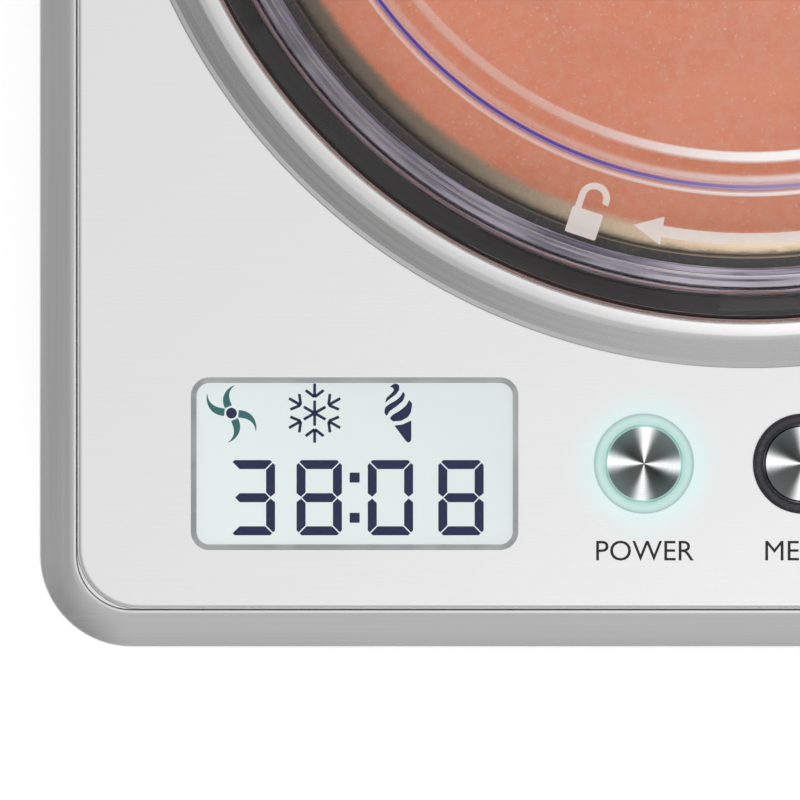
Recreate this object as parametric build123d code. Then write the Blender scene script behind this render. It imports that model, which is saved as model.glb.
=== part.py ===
"""Upright ice cream maker with a built-in compressor.

A rounded stainless housing stands on a black tray with four rubber feet. Its top plate holds a round
collar with a clear bayonet lid, and a row of controls along the front: a display and five buttons.
Under the lid a bowl with a central tube hangs in a chilled well. A gear motor below the well turns the
paddle through the tube. The compressor, condenser, fan and boards fill the bottom of the housing.

Millimetres. Z is up and the front faces -Y. The origin is at the middle of the footprint, on the
surface that the feet stand on.
"""

import math
import os

from build123d import *

os.makedirs("parts", exist_ok=True)

# ---------------------------------------------------------------- driving sizes
FIT = 0.2  # clearance between pieces that are assembled and stay put
SLIDE_GAP = 0.3  # clearance between pieces that move past each other

# bowl and well
BOWL_RADIUS = 103.5
BOWL_DEPTH = 95.0
BOWL_WALL = 1.2
BOWL_FLOOR = 1.5
BOWL_CORNER = 16.0
BOWL_RIM_WIDTH = 4.8
BOWL_TUBE_BORE = 7.0
BOWL_TUBE_WALL = 2.0
BOWL_TUBE_HEIGHT = 55.0
WELL_GAP = 0.8
WELL_WALL = 1.5
WELL_FLANGE = 13.0
FOAM_FLOOR = 18.0
FOAM_WALL = 9.4
TUB_WALL = 2.0
COIL_TUBE_RADIUS = 4.0
COIL_TURNS = 5.9
COIL_START = -22.0  # where the lower end of the coil is, about Z from +X
COIL_BEND = 8.0

# handle of the bowl
BAIL_WIRE_RADIUS = 1.2
BAIL_EYE_RADIUS = 2.6
BAIL_EYE_THICKNESS = 2.2
BAIL_PIN_RADIUS = 1.2
BAIL_DROP = 7.0  # from the rim of the bowl down to the handle's pins

# lid, collar and locking ring
LID_THICKNESS = 2.5
LID_SKIRT_WALL = 2.9
LID_SKIRT_DROP = 9.1
LID_FLANGE_LIP = 1.0
LID_STEP_RADIUS = 91.3
LID_STEP_SLOPE = 6.7
LID_STEP_HEIGHT = 4.0
LID_SHOULDER = 4.6
LID_REST = 0.1  # between the lid's flange and the locking ring
FILLER_RADIUS = 29.0
FILLER_WALL = 2.0
FILLER_HEIGHT = 3.2
CAP_KNOB_HEIGHT = 6.0
LUG_COUNT = 4
LUG_ARC = 24.0
LUG_HEIGHT = 2.6
LUG_REACH = 3.3
TAB_START = 31.5  # where the first tab begins, about Z from +X
TAB_ARC = 30.0
TAB_STOP_ARC = 2.0
LOCK_ANGLE = 37.0
LOCK_RING_WALL = 1.5
COLLAR_WIDTH = 9.4
COLLAR_HEIGHT = 5.3
COLLAR_SHEET = 1.0
SEAL_HEIGHT = 2.3

# housing
PLATE_MARGIN = 6.0
PLATE_THICKNESS = 1.5
PLATE_CORNER = 12.0
BEZEL_WIDTH = 7.5
BEZEL_DROP = 4.2
CONTROL_DEPTH = 46.7
BODY_CORNER = 18.0
FRAME_SKIRT = 14.0
WRAP_SHEET = 0.9
WRAP_INSET = 1.2
RIM_DROP = 10.0
TRAY_HEIGHT = 24.0
TRAY_FLOOR = 3.0
TONGUE = 6.0
FOOT_HEIGHT = 10.0
FOOT_RADIUS = 13.0
FOOT_STUD_RADIUS = 4.0
VENT_SLOT_HEIGHT = 3.0
VENT_SLOT_LENGTH = 84.0
VENT_PITCH = 8.0
VENT_ROWS = 11

# controls
BUTTON_ROW_BACK = 35.7  # from the front of the housing to the middle of the controls
BUTTON_COUNT = 5
BUTTON_PITCH = 30.8
BUTTON_FIRST_X = -20.5
BUTTON_RADIUS = 7.45
BUTTON_TRAVEL = 1.2
BEZEL_RING_RADIUS = 9.7
BEZEL_RING_HEIGHT = 1.3
DISPLAY_X = -76.6
DISPLAY_WIDTH = 63.5
DISPLAY_DEPTH = 33.5
DISPLAY_CORNER = 3.6
DISPLAY_CHAMFER = 1.1
DISPLAY_FLANGE = 1.5

# drive
SHAFT_RADIUS = 5.0
HEX_FLATS = 8.0
IDLER_PIN_RADIUS = 3.0
GEAR_MODULE = 1.0
PINION_TEETH = 16
WHEEL_TEETH = 48
PRESSURE_ANGLE = math.radians(20)
BACKLASH = 0.12
GEARBOX_HEIGHT = 34.0
GEARBOX_WALL = 2.5
MOTOR_RADIUS = 28.0
MOTOR_LENGTH = 68.0
PADDLE_THICKNESS = 5.0
PADDLE_BAR = 9.0
PADDLE_ANGLE = -55.0  # where one blade points at rest, about Z from +X

# cooling machinery
COMPRESSOR_RADIUS = 56.0
COMPRESSOR_HEIGHT = 137.0
COMPRESSOR_WALL = 3.0
GROMMET_HEIGHT = 12.0
FEET_PLATE = 3.0
GEARBOX_GAP = 12.0
FAN_SIZE = 92.0
FAN_DEPTH = 25.0
FAN_BLADES = 7
CONDENSER_DEPTH = 20.0
CONDENSER_TUBE_RADIUS = 3.5
CONDENSER_RUNS = 8
CONDENSER_RUN_PITCH = 13.0
CONDENSER_LENGTH = 104.0
FIN_COUNT = 20
FIN_THICKNESS = 0.5
LINE_RADIUS = 3.2
CAPILLARY_RADIUS = 1.5
BOARD_POST_HEIGHT = 8.0

# ---------------------------------------------------------------- sizes that follow
# radii outwards from the bowl's axis
BOWL_OUTER = BOWL_RADIUS + BOWL_WALL
RIM_RADIUS = BOWL_OUTER + BOWL_RIM_WIDTH
WELL_RADIUS = BOWL_OUTER + WELL_GAP
WELL_OUTER = WELL_RADIUS + WELL_WALL
COIL_RADIUS = WELL_OUTER + COIL_TUBE_RADIUS + FIT
FOAM_INNER = COIL_RADIUS + COIL_TUBE_RADIUS + 3 * FIT
LEAD_RADIUS = FOAM_INNER + COIL_TUBE_RADIUS + FIT  # of the lead that comes down outside the coil
FOAM_OUTER = FOAM_INNER + FOAM_WALL
TUB_OUTER = FOAM_OUTER + TUB_WALL
BAIL_RADIUS = BOWL_RADIUS - SLIDE_GAP - BAIL_WIRE_RADIUS
PADDLE_RADIUS = BAIL_RADIUS - BAIL_WIRE_RADIUS - 1.0
SKIRT_OUTER = RIM_RADIUS - FIT
SKIRT_INNER = SKIRT_OUTER - LID_SKIRT_WALL
LOCK_RING_BORE = SKIRT_OUTER + LUG_REACH + 0.7
LUG_RADIUS = SKIRT_OUTER + LUG_REACH
TAB_RADIUS = SKIRT_OUTER + 0.9
COLLAR_BORE = LOCK_RING_BORE + LOCK_RING_WALL + FIT
LID_RADIUS = LOCK_RING_BORE + LID_FLANGE_LIP
COLLAR_RADIUS = COLLAR_BORE + COLLAR_WIDTH

# plan of the housing
BODY_WIDTH = 2 * (COLLAR_RADIUS + PLATE_MARGIN + BEZEL_WIDTH)
BODY_DEPTH = 2 * COLLAR_RADIUS + PLATE_MARGIN + CONTROL_DEPTH + 2 * BEZEL_WIDTH
BOWL_Y = BODY_DEPTH / 2 - BEZEL_WIDTH - PLATE_MARGIN - COLLAR_RADIUS
CONTROL_Y = BUTTON_ROW_BACK - BODY_DEPTH / 2
WRAP_WIDTH = BODY_WIDTH - 2 * WRAP_INSET
WRAP_DEPTH = BODY_DEPTH - 2 * WRAP_INSET
INSIDE_X = WRAP_WIDTH / 2 - WRAP_SHEET
INSIDE_Y = WRAP_DEPTH / 2 - WRAP_SHEET

# heights from the floor up
TRAY_BOTTOM = FOOT_HEIGHT
TRAY_FLOOR_TOP = TRAY_BOTTOM + TRAY_FLOOR
TRAY_TOP = TRAY_BOTTOM + TRAY_HEIGHT
COMPRESSOR_BOTTOM = TRAY_FLOOR_TOP + GROMMET_HEIGHT + FEET_PLATE
COMPRESSOR_TOP = COMPRESSOR_BOTTOM + COMPRESSOR_HEIGHT
COMPRESSOR_SEAM = COMPRESSOR_BOTTOM + COMPRESSOR_HEIGHT / 2
GEARBOX_BOTTOM = COMPRESSOR_TOP + GEARBOX_GAP
TUB_BOTTOM = GEARBOX_BOTTOM + GEARBOX_HEIGHT
FOAM_BOTTOM = TUB_BOTTOM + TUB_WALL
WELL_BOTTOM = FOAM_BOTTOM + FOAM_FLOOR
WELL_FLOOR_TOP = WELL_BOTTOM + WELL_WALL
BOWL_BOTTOM = WELL_FLOOR_TOP + 1.0
BOWL_FLOOR_TOP = BOWL_BOTTOM + BOWL_FLOOR
RIM_TOP = BOWL_FLOOR_TOP + BOWL_DEPTH
RIM_BOTTOM = RIM_TOP - BOWL_WALL
WELL_FLANGE_BOTTOM = RIM_BOTTOM - WELL_WALL
PLATE_TOP = RIM_TOP + RIM_DROP
PLATE_BOTTOM = PLATE_TOP - PLATE_THICKNESS
FRAME_BOTTOM = PLATE_TOP - FRAME_SKIRT
SEAL_BOTTOM = RIM_TOP + FIT
SKIRT_BOTTOM = SEAL_BOTTOM + SEAL_HEIGHT + FIT
LID_LEDGE = SKIRT_BOTTOM + LID_SKIRT_DROP - LID_REST  # top of the locking ring, under the lid's flange
LID_FLANGE_BOTTOM = SKIRT_BOTTOM + LID_SKIRT_DROP
LID_FLANGE_TOP = LID_LEDGE + LID_THICKNESS
LID_TOP = LID_FLANGE_TOP + LID_SHOULDER
LID_CENTRE_TOP = LID_TOP + LID_STEP_HEIGHT
LUG_BOTTOM = SKIRT_BOTTOM + 1.3
LUG_TOP = LUG_BOTTOM + LUG_HEIGHT
TAB_BOTTOM = LUG_TOP + SLIDE_GAP
TAB_TOP = TAB_BOTTOM + 2.2
BAIL_Z = RIM_TOP - BAIL_DROP
TUBE_TOP = BOWL_FLOOR_TOP + BOWL_TUBE_HEIGHT
WASHER_TOP = TUBE_TOP + 1.2
HUB_SHOULDER = WASHER_TOP + SLIDE_GAP
SHAFT_TOP = HUB_SHOULDER + 12.0
HUB_TOP = SHAFT_TOP + 10.0
TUBE_OUTER = BOWL_TUBE_BORE + BOWL_TUBE_WALL
HUB_BORE = TUBE_OUTER + 0.8
GEAR_SPACING = GEAR_MODULE * (PINION_TEETH + WHEEL_TEETH) / 2
IDLER_Y = BOWL_Y - GEAR_SPACING
MOTOR_Y = BOWL_Y - 2 * GEAR_SPACING
WHEEL_TIP = GEAR_MODULE * (WHEEL_TEETH / 2 + 1)
COMPRESSOR_X = -38.0
COMPRESSOR_Y = INSIDE_Y - COMPRESSOR_RADIUS - 28.0
CONDENSER_X = INSIDE_X - 4.0 - CONDENSER_DEPTH / 2
CONDENSER_Y = INSIDE_Y - 30.0 - CONDENSER_LENGTH / 2
CONDENSER_BOTTOM = TRAY_FLOOR_TOP + 32.0
FAN_X = CONDENSER_X - CONDENSER_DEPTH / 2 - 3.0 - FAN_DEPTH
FAN_Z = CONDENSER_BOTTOM + 7.0 + FAN_SIZE / 2
BUTTON_NAMES = ("power", "menu", "start", "plus", "minus")

BOWL_AT = Pos(0, BOWL_Y, 0)


# ---------------------------------------------------------------- helpers
def slab(width, depth, corner, bottom, top, x=0.0, y=0.0):
    """A block with rounded vertical corners."""
    return Pos(x, y, bottom) * extrude(RectangleRounded(width, depth, corner), top - bottom)


def disc(radius, bottom, top, x=0.0, y=0.0):
    """An upright cylinder."""
    return Pos(x, y, bottom) * Cylinder(radius, top - bottom, align=(Align.CENTER, Align.CENTER, Align.MIN))


def ring(inner, outer, bottom, top, x=0.0, y=0.0):
    """An upright ring with flat ends."""
    return disc(outer, bottom, top, x, y) - disc(inner, bottom - 1, top + 1, x, y)


def turned(*points):
    """The outline (radius, height) turned about Z."""
    outline = make_face(Plane.XZ * Polyline(*points, close=True))
    return revolve(outline, Axis.Z)


def sector(inner, outer, bottom, top, start, arc):
    """A piece of a ring, from start over arc degrees about Z."""
    reach = outer / math.cos(math.radians(arc / 2)) + 1
    a, b, c = (math.radians(start + share * arc) for share in (0, 0.5, 1))
    wedge = make_face(
        Polyline(
            (0, 0),
            (reach * math.cos(a), reach * math.sin(a)),
            (reach * math.cos(b) * 1.1, reach * math.sin(b) * 1.1),
            (reach * math.cos(c), reach * math.sin(c)),
            close=True,
        )
    )
    return ring(inner, outer, bottom, top) & Pos(0, 0, bottom) * extrude(wedge, top - bottom)


def along_x(radius, length, x, y, z):
    """A cylinder along +X from x."""
    rod = Cylinder(radius, length, align=(Align.CENTER, Align.CENTER, Align.MIN))
    return Pos(x, y, z) * Rot(0, 90, 0) * rod


def along_y(radius, length, x, y, z):
    """A cylinder along +Y from y."""
    rod = Cylinder(radius, length, align=(Align.CENTER, Align.CENTER, Align.MIN))
    return Pos(x, y, z) * Rot(-90, 0, 0) * rod


def box(low, high):
    """A block between two corners."""
    size = [b - a for a, b in zip(low, high)]
    return Pos(*low) * Box(*size, align=(Align.MIN, Align.MIN, Align.MIN))


def pipe(radius, bend, *points):
    """A round bar along straight runs joined by bends."""
    path = FilletPolyline(*points, radius=bend)
    return sweep(Plane(origin=path @ 0, z_dir=path % 0) * Circle(radius), path=path)


def mirrored_x(shape):
    """A shape and its twin on the other side of the YZ plane."""
    return shape + mirror(shape, Plane.YZ)


def gear(teeth, bottom, top, bore, tooth_at):
    """A spur gear about Z with involute flanks and one tooth centred at tooth_at degrees."""
    pitch = GEAR_MODULE * teeth / 2
    base, tip, root = pitch * math.cos(PRESSURE_ANGLE), pitch + 0.95 * GEAR_MODULE, pitch - 1.25 * GEAR_MODULE
    roll = math.tan(PRESSURE_ANGLE) - PRESSURE_ANGLE
    half = math.pi / (2 * teeth) - BACKLASH / (2 * pitch) + roll
    steps = 7
    flank = []
    for i in range(steps):
        radius = max(base, root) + (tip - max(base, root)) * i / (steps - 1)
        turn = math.acos(min(1.0, base / radius))
        flank.append((radius, half - (math.tan(turn) - turn)))
    tooth = [(min(root, base), flank[0][1])] + flank
    points = []
    for n in range(teeth):
        middle = math.radians(tooth_at) + 2 * math.pi * n / teeth
        side = [(r, middle - a) for r, a in tooth] + [(r, middle + a) for r, a in reversed(tooth)]
        points += [(r * math.cos(a), r * math.sin(a)) for r, a in side]
    body = Pos(0, 0, bottom) * extrude(make_face(Polyline(*points, close=True)), top - bottom)
    return body - disc(bore, bottom - 1, top + 1) if bore else body


# ---------------------------------------------------------------- housing
def base_tray():
    floor = slab(WRAP_WIDTH, WRAP_DEPTH, BODY_CORNER - WRAP_INSET, TRAY_BOTTOM, TRAY_TOP)
    floor = chamfer(floor.edges().group_by(Axis.Z)[0], 2.0)
    wall = 3.0
    width, depth = WRAP_WIDTH - 2 * wall, WRAP_DEPTH - 2 * wall
    floor -= slab(width, depth, BODY_CORNER - wall, TRAY_FLOOR_TOP, TRAY_TOP + 1)
    inset = WRAP_SHEET + FIT
    tongue = slab(
        WRAP_WIDTH - 2 * inset,
        WRAP_DEPTH - 2 * inset,
        BODY_CORNER - WRAP_INSET - inset,
        TRAY_TOP,
        TRAY_TOP + TONGUE,
    )
    tongue -= slab(
        WRAP_WIDTH - 2 * wall, WRAP_DEPTH - 2 * wall, BODY_CORNER - wall, TRAY_TOP - 1, TRAY_TOP + TONGUE + 1
    )
    tray = floor + tongue
    for x, y in board_post_places():
        tray += disc(3.5, TRAY_BOTTOM + 1, TRAY_FLOOR_TOP + BOARD_POST_HEIGHT, x, y)
    for x, y in foot_places():
        tray -= disc(FOOT_STUD_RADIUS, TRAY_BOTTOM - 1, TRAY_FLOOR_TOP + 1, x, y)
    for x, y in compressor_bolt_places():
        tray -= disc(3.2, TRAY_BOTTOM - 1, TRAY_FLOOR_TOP + 1, x, y)
    return tray


def foot_places():
    x, y = WRAP_WIDTH / 2 - 28.0, WRAP_DEPTH / 2 - 28.0
    return [(sx * x, sy * y) for sx in (-1, 1) for sy in (-1, 1)]


def rubber_feet():
    """Four feet, each with a stud that snaps into the floor of the tray."""
    foot = turned(
        (0.0, 2.0),
        (6.5, 2.0),
        (6.5, 0.0),
        (FOOT_RADIUS - 3.0, 0.0),
        (FOOT_RADIUS - 2.0, 1.0),
        (FOOT_RADIUS, FOOT_HEIGHT),
        (FOOT_STUD_RADIUS, FOOT_HEIGHT),
        (FOOT_STUD_RADIUS, TRAY_FLOOR_TOP),
        (FOOT_STUD_RADIUS + 1.2, TRAY_FLOOR_TOP),
        (FOOT_STUD_RADIUS - 1.0, TRAY_FLOOR_TOP + 4.0),
        (0.0, TRAY_FLOOR_TOP + 4.0),
    )
    return Compound(children=[Pos(x, y, 0) * foot for x, y in foot_places()])


def housing_wrap():
    corner = BODY_CORNER - WRAP_INSET
    shell = slab(WRAP_WIDTH, WRAP_DEPTH, corner, TRAY_TOP, FRAME_BOTTOM)
    shell -= slab(2 * INSIDE_X, 2 * INSIDE_Y, corner - WRAP_SHEET, TRAY_TOP - 1, FRAME_BOTTOM + 1)
    low, high = rear_window()
    shell -= box((low[0], INSIDE_Y - 5, low[1]), (high[0], WRAP_DEPTH / 2 + 5, high[1]))
    for z in vent_heights():
        outline = Plane.YZ * SlotOverall(VENT_SLOT_LENGTH, VENT_SLOT_HEIGHT)
        slot = extrude(outline, BODY_WIDTH / 2 + 5, both=True)
        shell -= Pos(0, CONDENSER_Y, z) * slot
    for x, z in rear_screw_places():
        shell -= along_y(1.7, 10, x, INSIDE_Y - 5, z)
    return shell


def vent_heights():
    return [CONDENSER_BOTTOM + 12.0 + VENT_PITCH * i for i in range(VENT_ROWS)]


def rear_window():
    """Lowest and highest corner (x, z) of the opening in the back of the wrap."""
    reach = WRAP_WIDTH / 2 - 28.0
    return (-reach, TRAY_TOP + 16.0), (reach, FRAME_BOTTOM - 14.0)


def rear_screw_places():
    low, high = rear_window()
    middle = (low[1] + high[1]) / 2
    side = high[0] + 4.5
    return [(sx * side, z) for sx in (-1, 1) for z in (low[1] + 12.0, middle, high[1] - 12.0)]


def inlet_place():
    low, high = rear_window()
    return low[0] + 34.0, low[1] + 26.0


def rear_panel():
    low, high = rear_window()
    lap = 7.0
    face = INSIDE_Y
    panel = box((low[0] - lap, face - 1.0, low[1] - lap), (high[0] + lap, face, high[1] + lap))
    slot = extrude(Plane.XZ * SlotOverall(VENT_SLOT_LENGTH, VENT_SLOT_HEIGHT), 5, both=True)
    for z in vent_heights():
        for x in (-VENT_SLOT_LENGTH / 2 - 6.0, VENT_SLOT_LENGTH / 2 + 6.0):
            if z > inlet_place()[1] + 20.0 or x > 0:
                panel -= Pos(x, face, z) * slot
    x, z = inlet_place()
    panel -= box((x - 13.6, face - 5, z - 10.1), (x + 13.6, face + 5, z + 10.1))
    for x, z in rear_screw_places():
        panel -= along_y(1.7, 10, x, face - 5, z)
    return panel


def rear_panel_screws():
    face = WRAP_DEPTH / 2
    screw = along_y(3.2, WRAP_INSET - 0.2, 0, face, 0) + along_y(1.6, 8.0, 0, face - 8.0, 0)
    recess = box((-2.2, face + WRAP_INSET - 0.7, -0.4), (2.2, face + WRAP_INSET, 0.4))
    screw -= recess + Rot(0, 90, 0) * recess
    return Compound(children=[Pos(x, 0, z) * screw for x, z in rear_screw_places()])


def power_inlet():
    """Appliance inlet: a recessed socket with a flange on the rear panel."""
    x, z = inlet_place()
    face = INSIDE_Y
    flange = box((x - 17.0, face, z - 13.0), (x + 17.0, face + 1.9, z + 13.0))
    body = box((x - 13.5, face - 20.0, z - 10.0), (x + 13.5, face, z + 10.0))
    shell = flange + body
    mouth = Polyline(
        (x - 12.0, z - 8.2),
        (x + 12.0, z - 8.2),
        (x + 12.0, z + 4.2),
        (x + 8.0, z + 8.2),
        (x - 8.0, z + 8.2),
        (x - 12.0, z + 4.2),
        close=True,
    )
    cavity = Pos(0, face + 2, 0) * extrude(Plane.XZ * make_face(mouth), 18.0)
    return shell - cavity


def inlet_pins():
    x, z = inlet_place()
    face = INSIDE_Y
    pins = []
    for dx, dz in ((-7.0, -1.2), (7.0, -1.2), (0.0, 2.6)):
        pins.append(box((x + dx - 1.0, face - 16.0, z + dz - 2.2), (x + dx + 1.0, face - 2.0, z + dz + 2.2)))
    return Compound(children=pins)


def top_frame():
    """Rolled metal frame round the top plate, with a shelf that the plate lies on."""
    sheet = 1.2
    edge = PLATE_TOP - 1.0
    outer = slab(BODY_WIDTH, BODY_DEPTH, BODY_CORNER, FRAME_BOTTOM, edge)
    outer = chamfer(outer.edges().group_by(Axis.Z)[-1], BEZEL_DROP, BEZEL_WIDTH - 1.2)
    inner = slab(
        BODY_WIDTH - 2 * sheet, BODY_DEPTH - 2 * sheet, BODY_CORNER - sheet, FRAME_BOTTOM - 1, edge - sheet
    )
    inner = chamfer(inner.edges().group_by(Axis.Z)[-1], BEZEL_DROP, BEZEL_WIDTH - 1.2)
    shelf_edge = 2 * (BEZEL_WIDTH + 5.0)
    frame = outer - inner
    frame += slab(
        BODY_WIDTH - 2 * BEZEL_WIDTH + 3.0,
        BODY_DEPTH - 2 * BEZEL_WIDTH + 3.0,
        PLATE_CORNER,
        PLATE_BOTTOM - 1.5,
        edge,
    )
    frame -= slab(
        BODY_WIDTH - 2 * BEZEL_WIDTH + FIT,
        BODY_DEPTH - 2 * BEZEL_WIDTH + FIT,
        PLATE_CORNER,
        PLATE_BOTTOM,
        edge + 1,
    )
    frame -= slab(
        BODY_WIDTH - shelf_edge,
        BODY_DEPTH - shelf_edge,
        PLATE_CORNER - 5.0,
        PLATE_BOTTOM - 5,
        PLATE_BOTTOM + 1,
    )
    inset = WRAP_INSET + WRAP_SHEET + FIT
    tongue = slab(
        BODY_WIDTH - 2 * inset,
        BODY_DEPTH - 2 * inset,
        BODY_CORNER - inset,
        FRAME_BOTTOM - TONGUE,
        FRAME_BOTTOM + 2,
    )
    tongue -= slab(
        BODY_WIDTH - 2 * inset - 2.4,
        BODY_DEPTH - 2 * inset - 2.4,
        BODY_CORNER - inset - 1.2,
        FRAME_BOTTOM - TONGUE - 1,
        FRAME_BOTTOM + 3,
    )
    lip = slab(BODY_WIDTH - 0.1, BODY_DEPTH - 0.1, BODY_CORNER - 0.05, FRAME_BOTTOM, FRAME_BOTTOM + 1.2)
    lip -= slab(
        BODY_WIDTH - 2 * inset - 2.4,
        BODY_DEPTH - 2 * inset - 2.4,
        BODY_CORNER - inset - 1.2,
        FRAME_BOTTOM - 1,
        FRAME_BOTTOM + 3,
    )
    return frame + tongue + lip


def top_plate():
    plate = slab(
        BODY_WIDTH - 2 * BEZEL_WIDTH, BODY_DEPTH - 2 * BEZEL_WIDTH, PLATE_CORNER, PLATE_BOTTOM, PLATE_TOP
    )
    plate = fillet(plate.edges().group_by(Axis.Z)[-1], 1.0)
    plate -= disc(COLLAR_RADIUS - 2.0, PLATE_BOTTOM - 1, PLATE_TOP + 1, 0, BOWL_Y)
    width, depth = DISPLAY_WIDTH - 2 * DISPLAY_CHAMFER, DISPLAY_DEPTH - 2 * DISPLAY_CHAMFER
    corner = DISPLAY_CORNER - DISPLAY_CHAMFER
    plate -= slab(width, depth, corner, PLATE_BOTTOM - 1, PLATE_TOP + 1, DISPLAY_X, CONTROL_Y)
    throat = Pos(DISPLAY_X, CONTROL_Y, PLATE_TOP - DISPLAY_CHAMFER) * RectangleRounded(width, depth, corner)
    mouth = RectangleRounded(DISPLAY_WIDTH, DISPLAY_DEPTH, DISPLAY_CORNER)
    plate -= loft([throat, Pos(DISPLAY_X, CONTROL_Y, PLATE_TOP) * mouth])
    for x in button_xs():
        plate -= disc(BEZEL_RING_RADIUS - 0.7, PLATE_BOTTOM - 1, PLATE_TOP + 1, x, CONTROL_Y)
    return plate


# ---------------------------------------------------------------- collar, lock and well
def collar_ring():
    z = PLATE_TOP
    r = COLLAR_RADIUS
    crest = COLLAR_HEIGHT
    shape = turned(
        (r, z),
        (r, z + 0.6),
        (r - 1.0, z + 1.1),
        (r - 5.2, z + crest - 0.9),
        (r - 6.2, z + crest - 0.5),
        (COLLAR_BORE + 0.9, z + crest),
        (COLLAR_BORE, z + crest - 0.8),
        (COLLAR_BORE, lock_flange_top()),
        (COLLAR_BORE + COLLAR_SHEET, lock_flange_top()),
        (COLLAR_BORE + COLLAR_SHEET, z + crest - 1.6),
        (r - 6.4, z + crest - 1.7),
        (r - 5.6, z + crest - 2.1),
        (r - 3.0, z),
    )
    return BOWL_AT * shape


def lock_flange_top():
    return RIM_BOTTOM + 2.2


def locking_ring():
    """Black ring with inward tabs that hold the lid's lugs, on the flange of the well."""
    wall = ring(LOCK_RING_BORE, LOCK_RING_BORE + LOCK_RING_WALL, RIM_BOTTOM, LID_LEDGE)
    flange = ring(LOCK_RING_BORE, COLLAR_BORE + 3.0, RIM_BOTTOM, lock_flange_top())
    shape = wall + flange
    for n in range(LUG_COUNT):
        start = TAB_START + n * 360.0 / LUG_COUNT
        outer = LOCK_RING_BORE + 0.5
        shape += sector(TAB_RADIUS, outer, TAB_BOTTOM, TAB_TOP, start, TAB_ARC)
        stop = start + TAB_ARC - TAB_STOP_ARC
        shape += sector(TAB_RADIUS, outer, LUG_BOTTOM + 0.4, TAB_TOP, stop, TAB_STOP_ARC)
    return BOWL_AT * shape


def first_lug_angle():
    """Where a lug starts when the lid is unlocked. LOCK_ANGLE brings it under a tab, at its stop."""
    return TAB_START + TAB_ARC - TAB_STOP_ARC - 1.5 - LUG_ARC - LOCK_ANGLE


def cooling_well():
    shape = turned(
        (WELL_RADIUS, RIM_BOTTOM),
        (WELL_RADIUS + WELL_FLANGE, RIM_BOTTOM),
        (WELL_RADIUS + WELL_FLANGE, WELL_FLANGE_BOTTOM),
        (WELL_OUTER, WELL_FLANGE_BOTTOM),
        (WELL_OUTER, WELL_BOTTOM + BOWL_CORNER * 0.4),
        (WELL_OUTER - BOWL_CORNER * 0.4, WELL_BOTTOM),
        (8.0, WELL_BOTTOM),
        (8.0, WELL_FLOOR_TOP),
        (WELL_RADIUS - BOWL_CORNER * 0.4, WELL_FLOOR_TOP),
        (WELL_RADIUS, WELL_FLOOR_TOP + BOWL_CORNER * 0.4),
    )
    return BOWL_AT * shape


def coil_span():
    """Lowest and highest middle of the coil's tube."""
    low = WELL_BOTTOM + BOWL_CORNER * 0.4 + COIL_TUBE_RADIUS + 2.0
    high = WELL_FLANGE_BOTTOM - COIL_TUBE_RADIUS - 4.0
    return low, high


def coil_ends():
    """Angles about the bowl's axis of the coil's lower and upper end."""
    return COIL_START, COIL_START + 360.0 * COIL_TURNS


def coil_slope():
    low, high = coil_span()
    return math.atan((high - low) / COIL_TURNS / (2 * math.pi * COIL_RADIUS))


def outer_lead_run():
    """How far the upper lead runs on, straight, before it stands beside the coil."""
    return math.sqrt(LEAD_RADIUS**2 - COIL_RADIUS**2)


def lead_places():
    """Middles (x, y) of the two leads that go down from the coil: from its lower and its upper end."""
    low, high = (math.radians(a) for a in coil_ends())
    back = COIL_BEND * (1 - math.sin(coil_slope()))
    places = []
    for turn, along in ((low, -back), (high, outer_lead_run())):
        x = COIL_RADIUS * math.cos(turn) - along * math.sin(turn)
        y = COIL_RADIUS * math.sin(turn) + along * math.cos(turn)
        places.append((x, BOWL_Y + y))
    return places


def lead_bottom():
    return TUB_BOTTOM - 6.0


def evaporator_coil():
    """One tube: up through the floor of the tub, round the well, and down again outside the coil."""
    low, high = coil_span()
    slope, bend, up = coil_slope(), COIL_BEND, Vector(0, 0, 1)
    helix = Helix(pitch=(high - low) / COIL_TURNS, height=high - low, radius=COIL_RADIUS)
    start, end, leave = helix @ 0, helix @ 1, helix % 1
    flat_in = Vector((helix % 0).X, (helix % 0).Y, 0).normalized()
    flat_out = Vector(leave.X, leave.Y, 0).normalized()
    rise = bend * math.cos(slope)
    first = start - flat_in * (bend * (1 - math.sin(slope))) - up * rise
    run = (outer_lead_run() - bend * (1 + math.sin(slope))) / math.cos(slope)
    turn = end + leave * run
    last = turn + flat_out * (bend * (1 + math.sin(slope))) - up * rise
    foot = lead_bottom() - low
    path = Wire(
        [
            Line((first.X, first.Y, foot), first),
            TangentArc(first, start, tangent=up),
            helix,
            Line(end, turn),
            TangentArc(turn, last, tangent=leave),
            Line(last, (last.X, last.Y, foot)),
        ]
    )
    coil = sweep(Plane(origin=path @ 0, z_dir=path % 0) * Circle(COIL_TUBE_RADIUS), path=path, is_frenet=True)
    return BOWL_AT * Pos(0, 0, low) * Rot(0, 0, COIL_START) * coil


def lead_holes(bottom, top):
    """Room for the coil's two leads."""
    radius = COIL_TUBE_RADIUS + FIT
    inner, outer = lead_places()
    return disc(radius, bottom, top, *inner) + disc(radius, bottom, top, *outer)


def well_insulation():
    """Foam between the well and the tub, open where the coil's leads pass."""
    shape = disc(FOAM_OUTER, FOAM_BOTTOM, WELL_FLANGE_BOTTOM)
    shape -= disc(FOAM_INNER, WELL_BOTTOM, WELL_FLANGE_BOTTOM + 1)
    shape -= disc(8.0, FOAM_BOTTOM - 1, WELL_BOTTOM + 1)
    half = COIL_TUBE_RADIUS + 2 * FIT
    low, high = coil_span()[1] - COIL_BEND, WELL_FLANGE_BOTTOM + 1
    notch = box((COIL_RADIUS - half, 0, low), (COIL_RADIUS + half, outer_lead_run(), high))
    shape -= Rot(0, 0, coil_ends()[1]) * notch
    return BOWL_AT * shape - lead_holes(FOAM_BOTTOM - 1, WELL_FLANGE_BOTTOM + 1)


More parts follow.
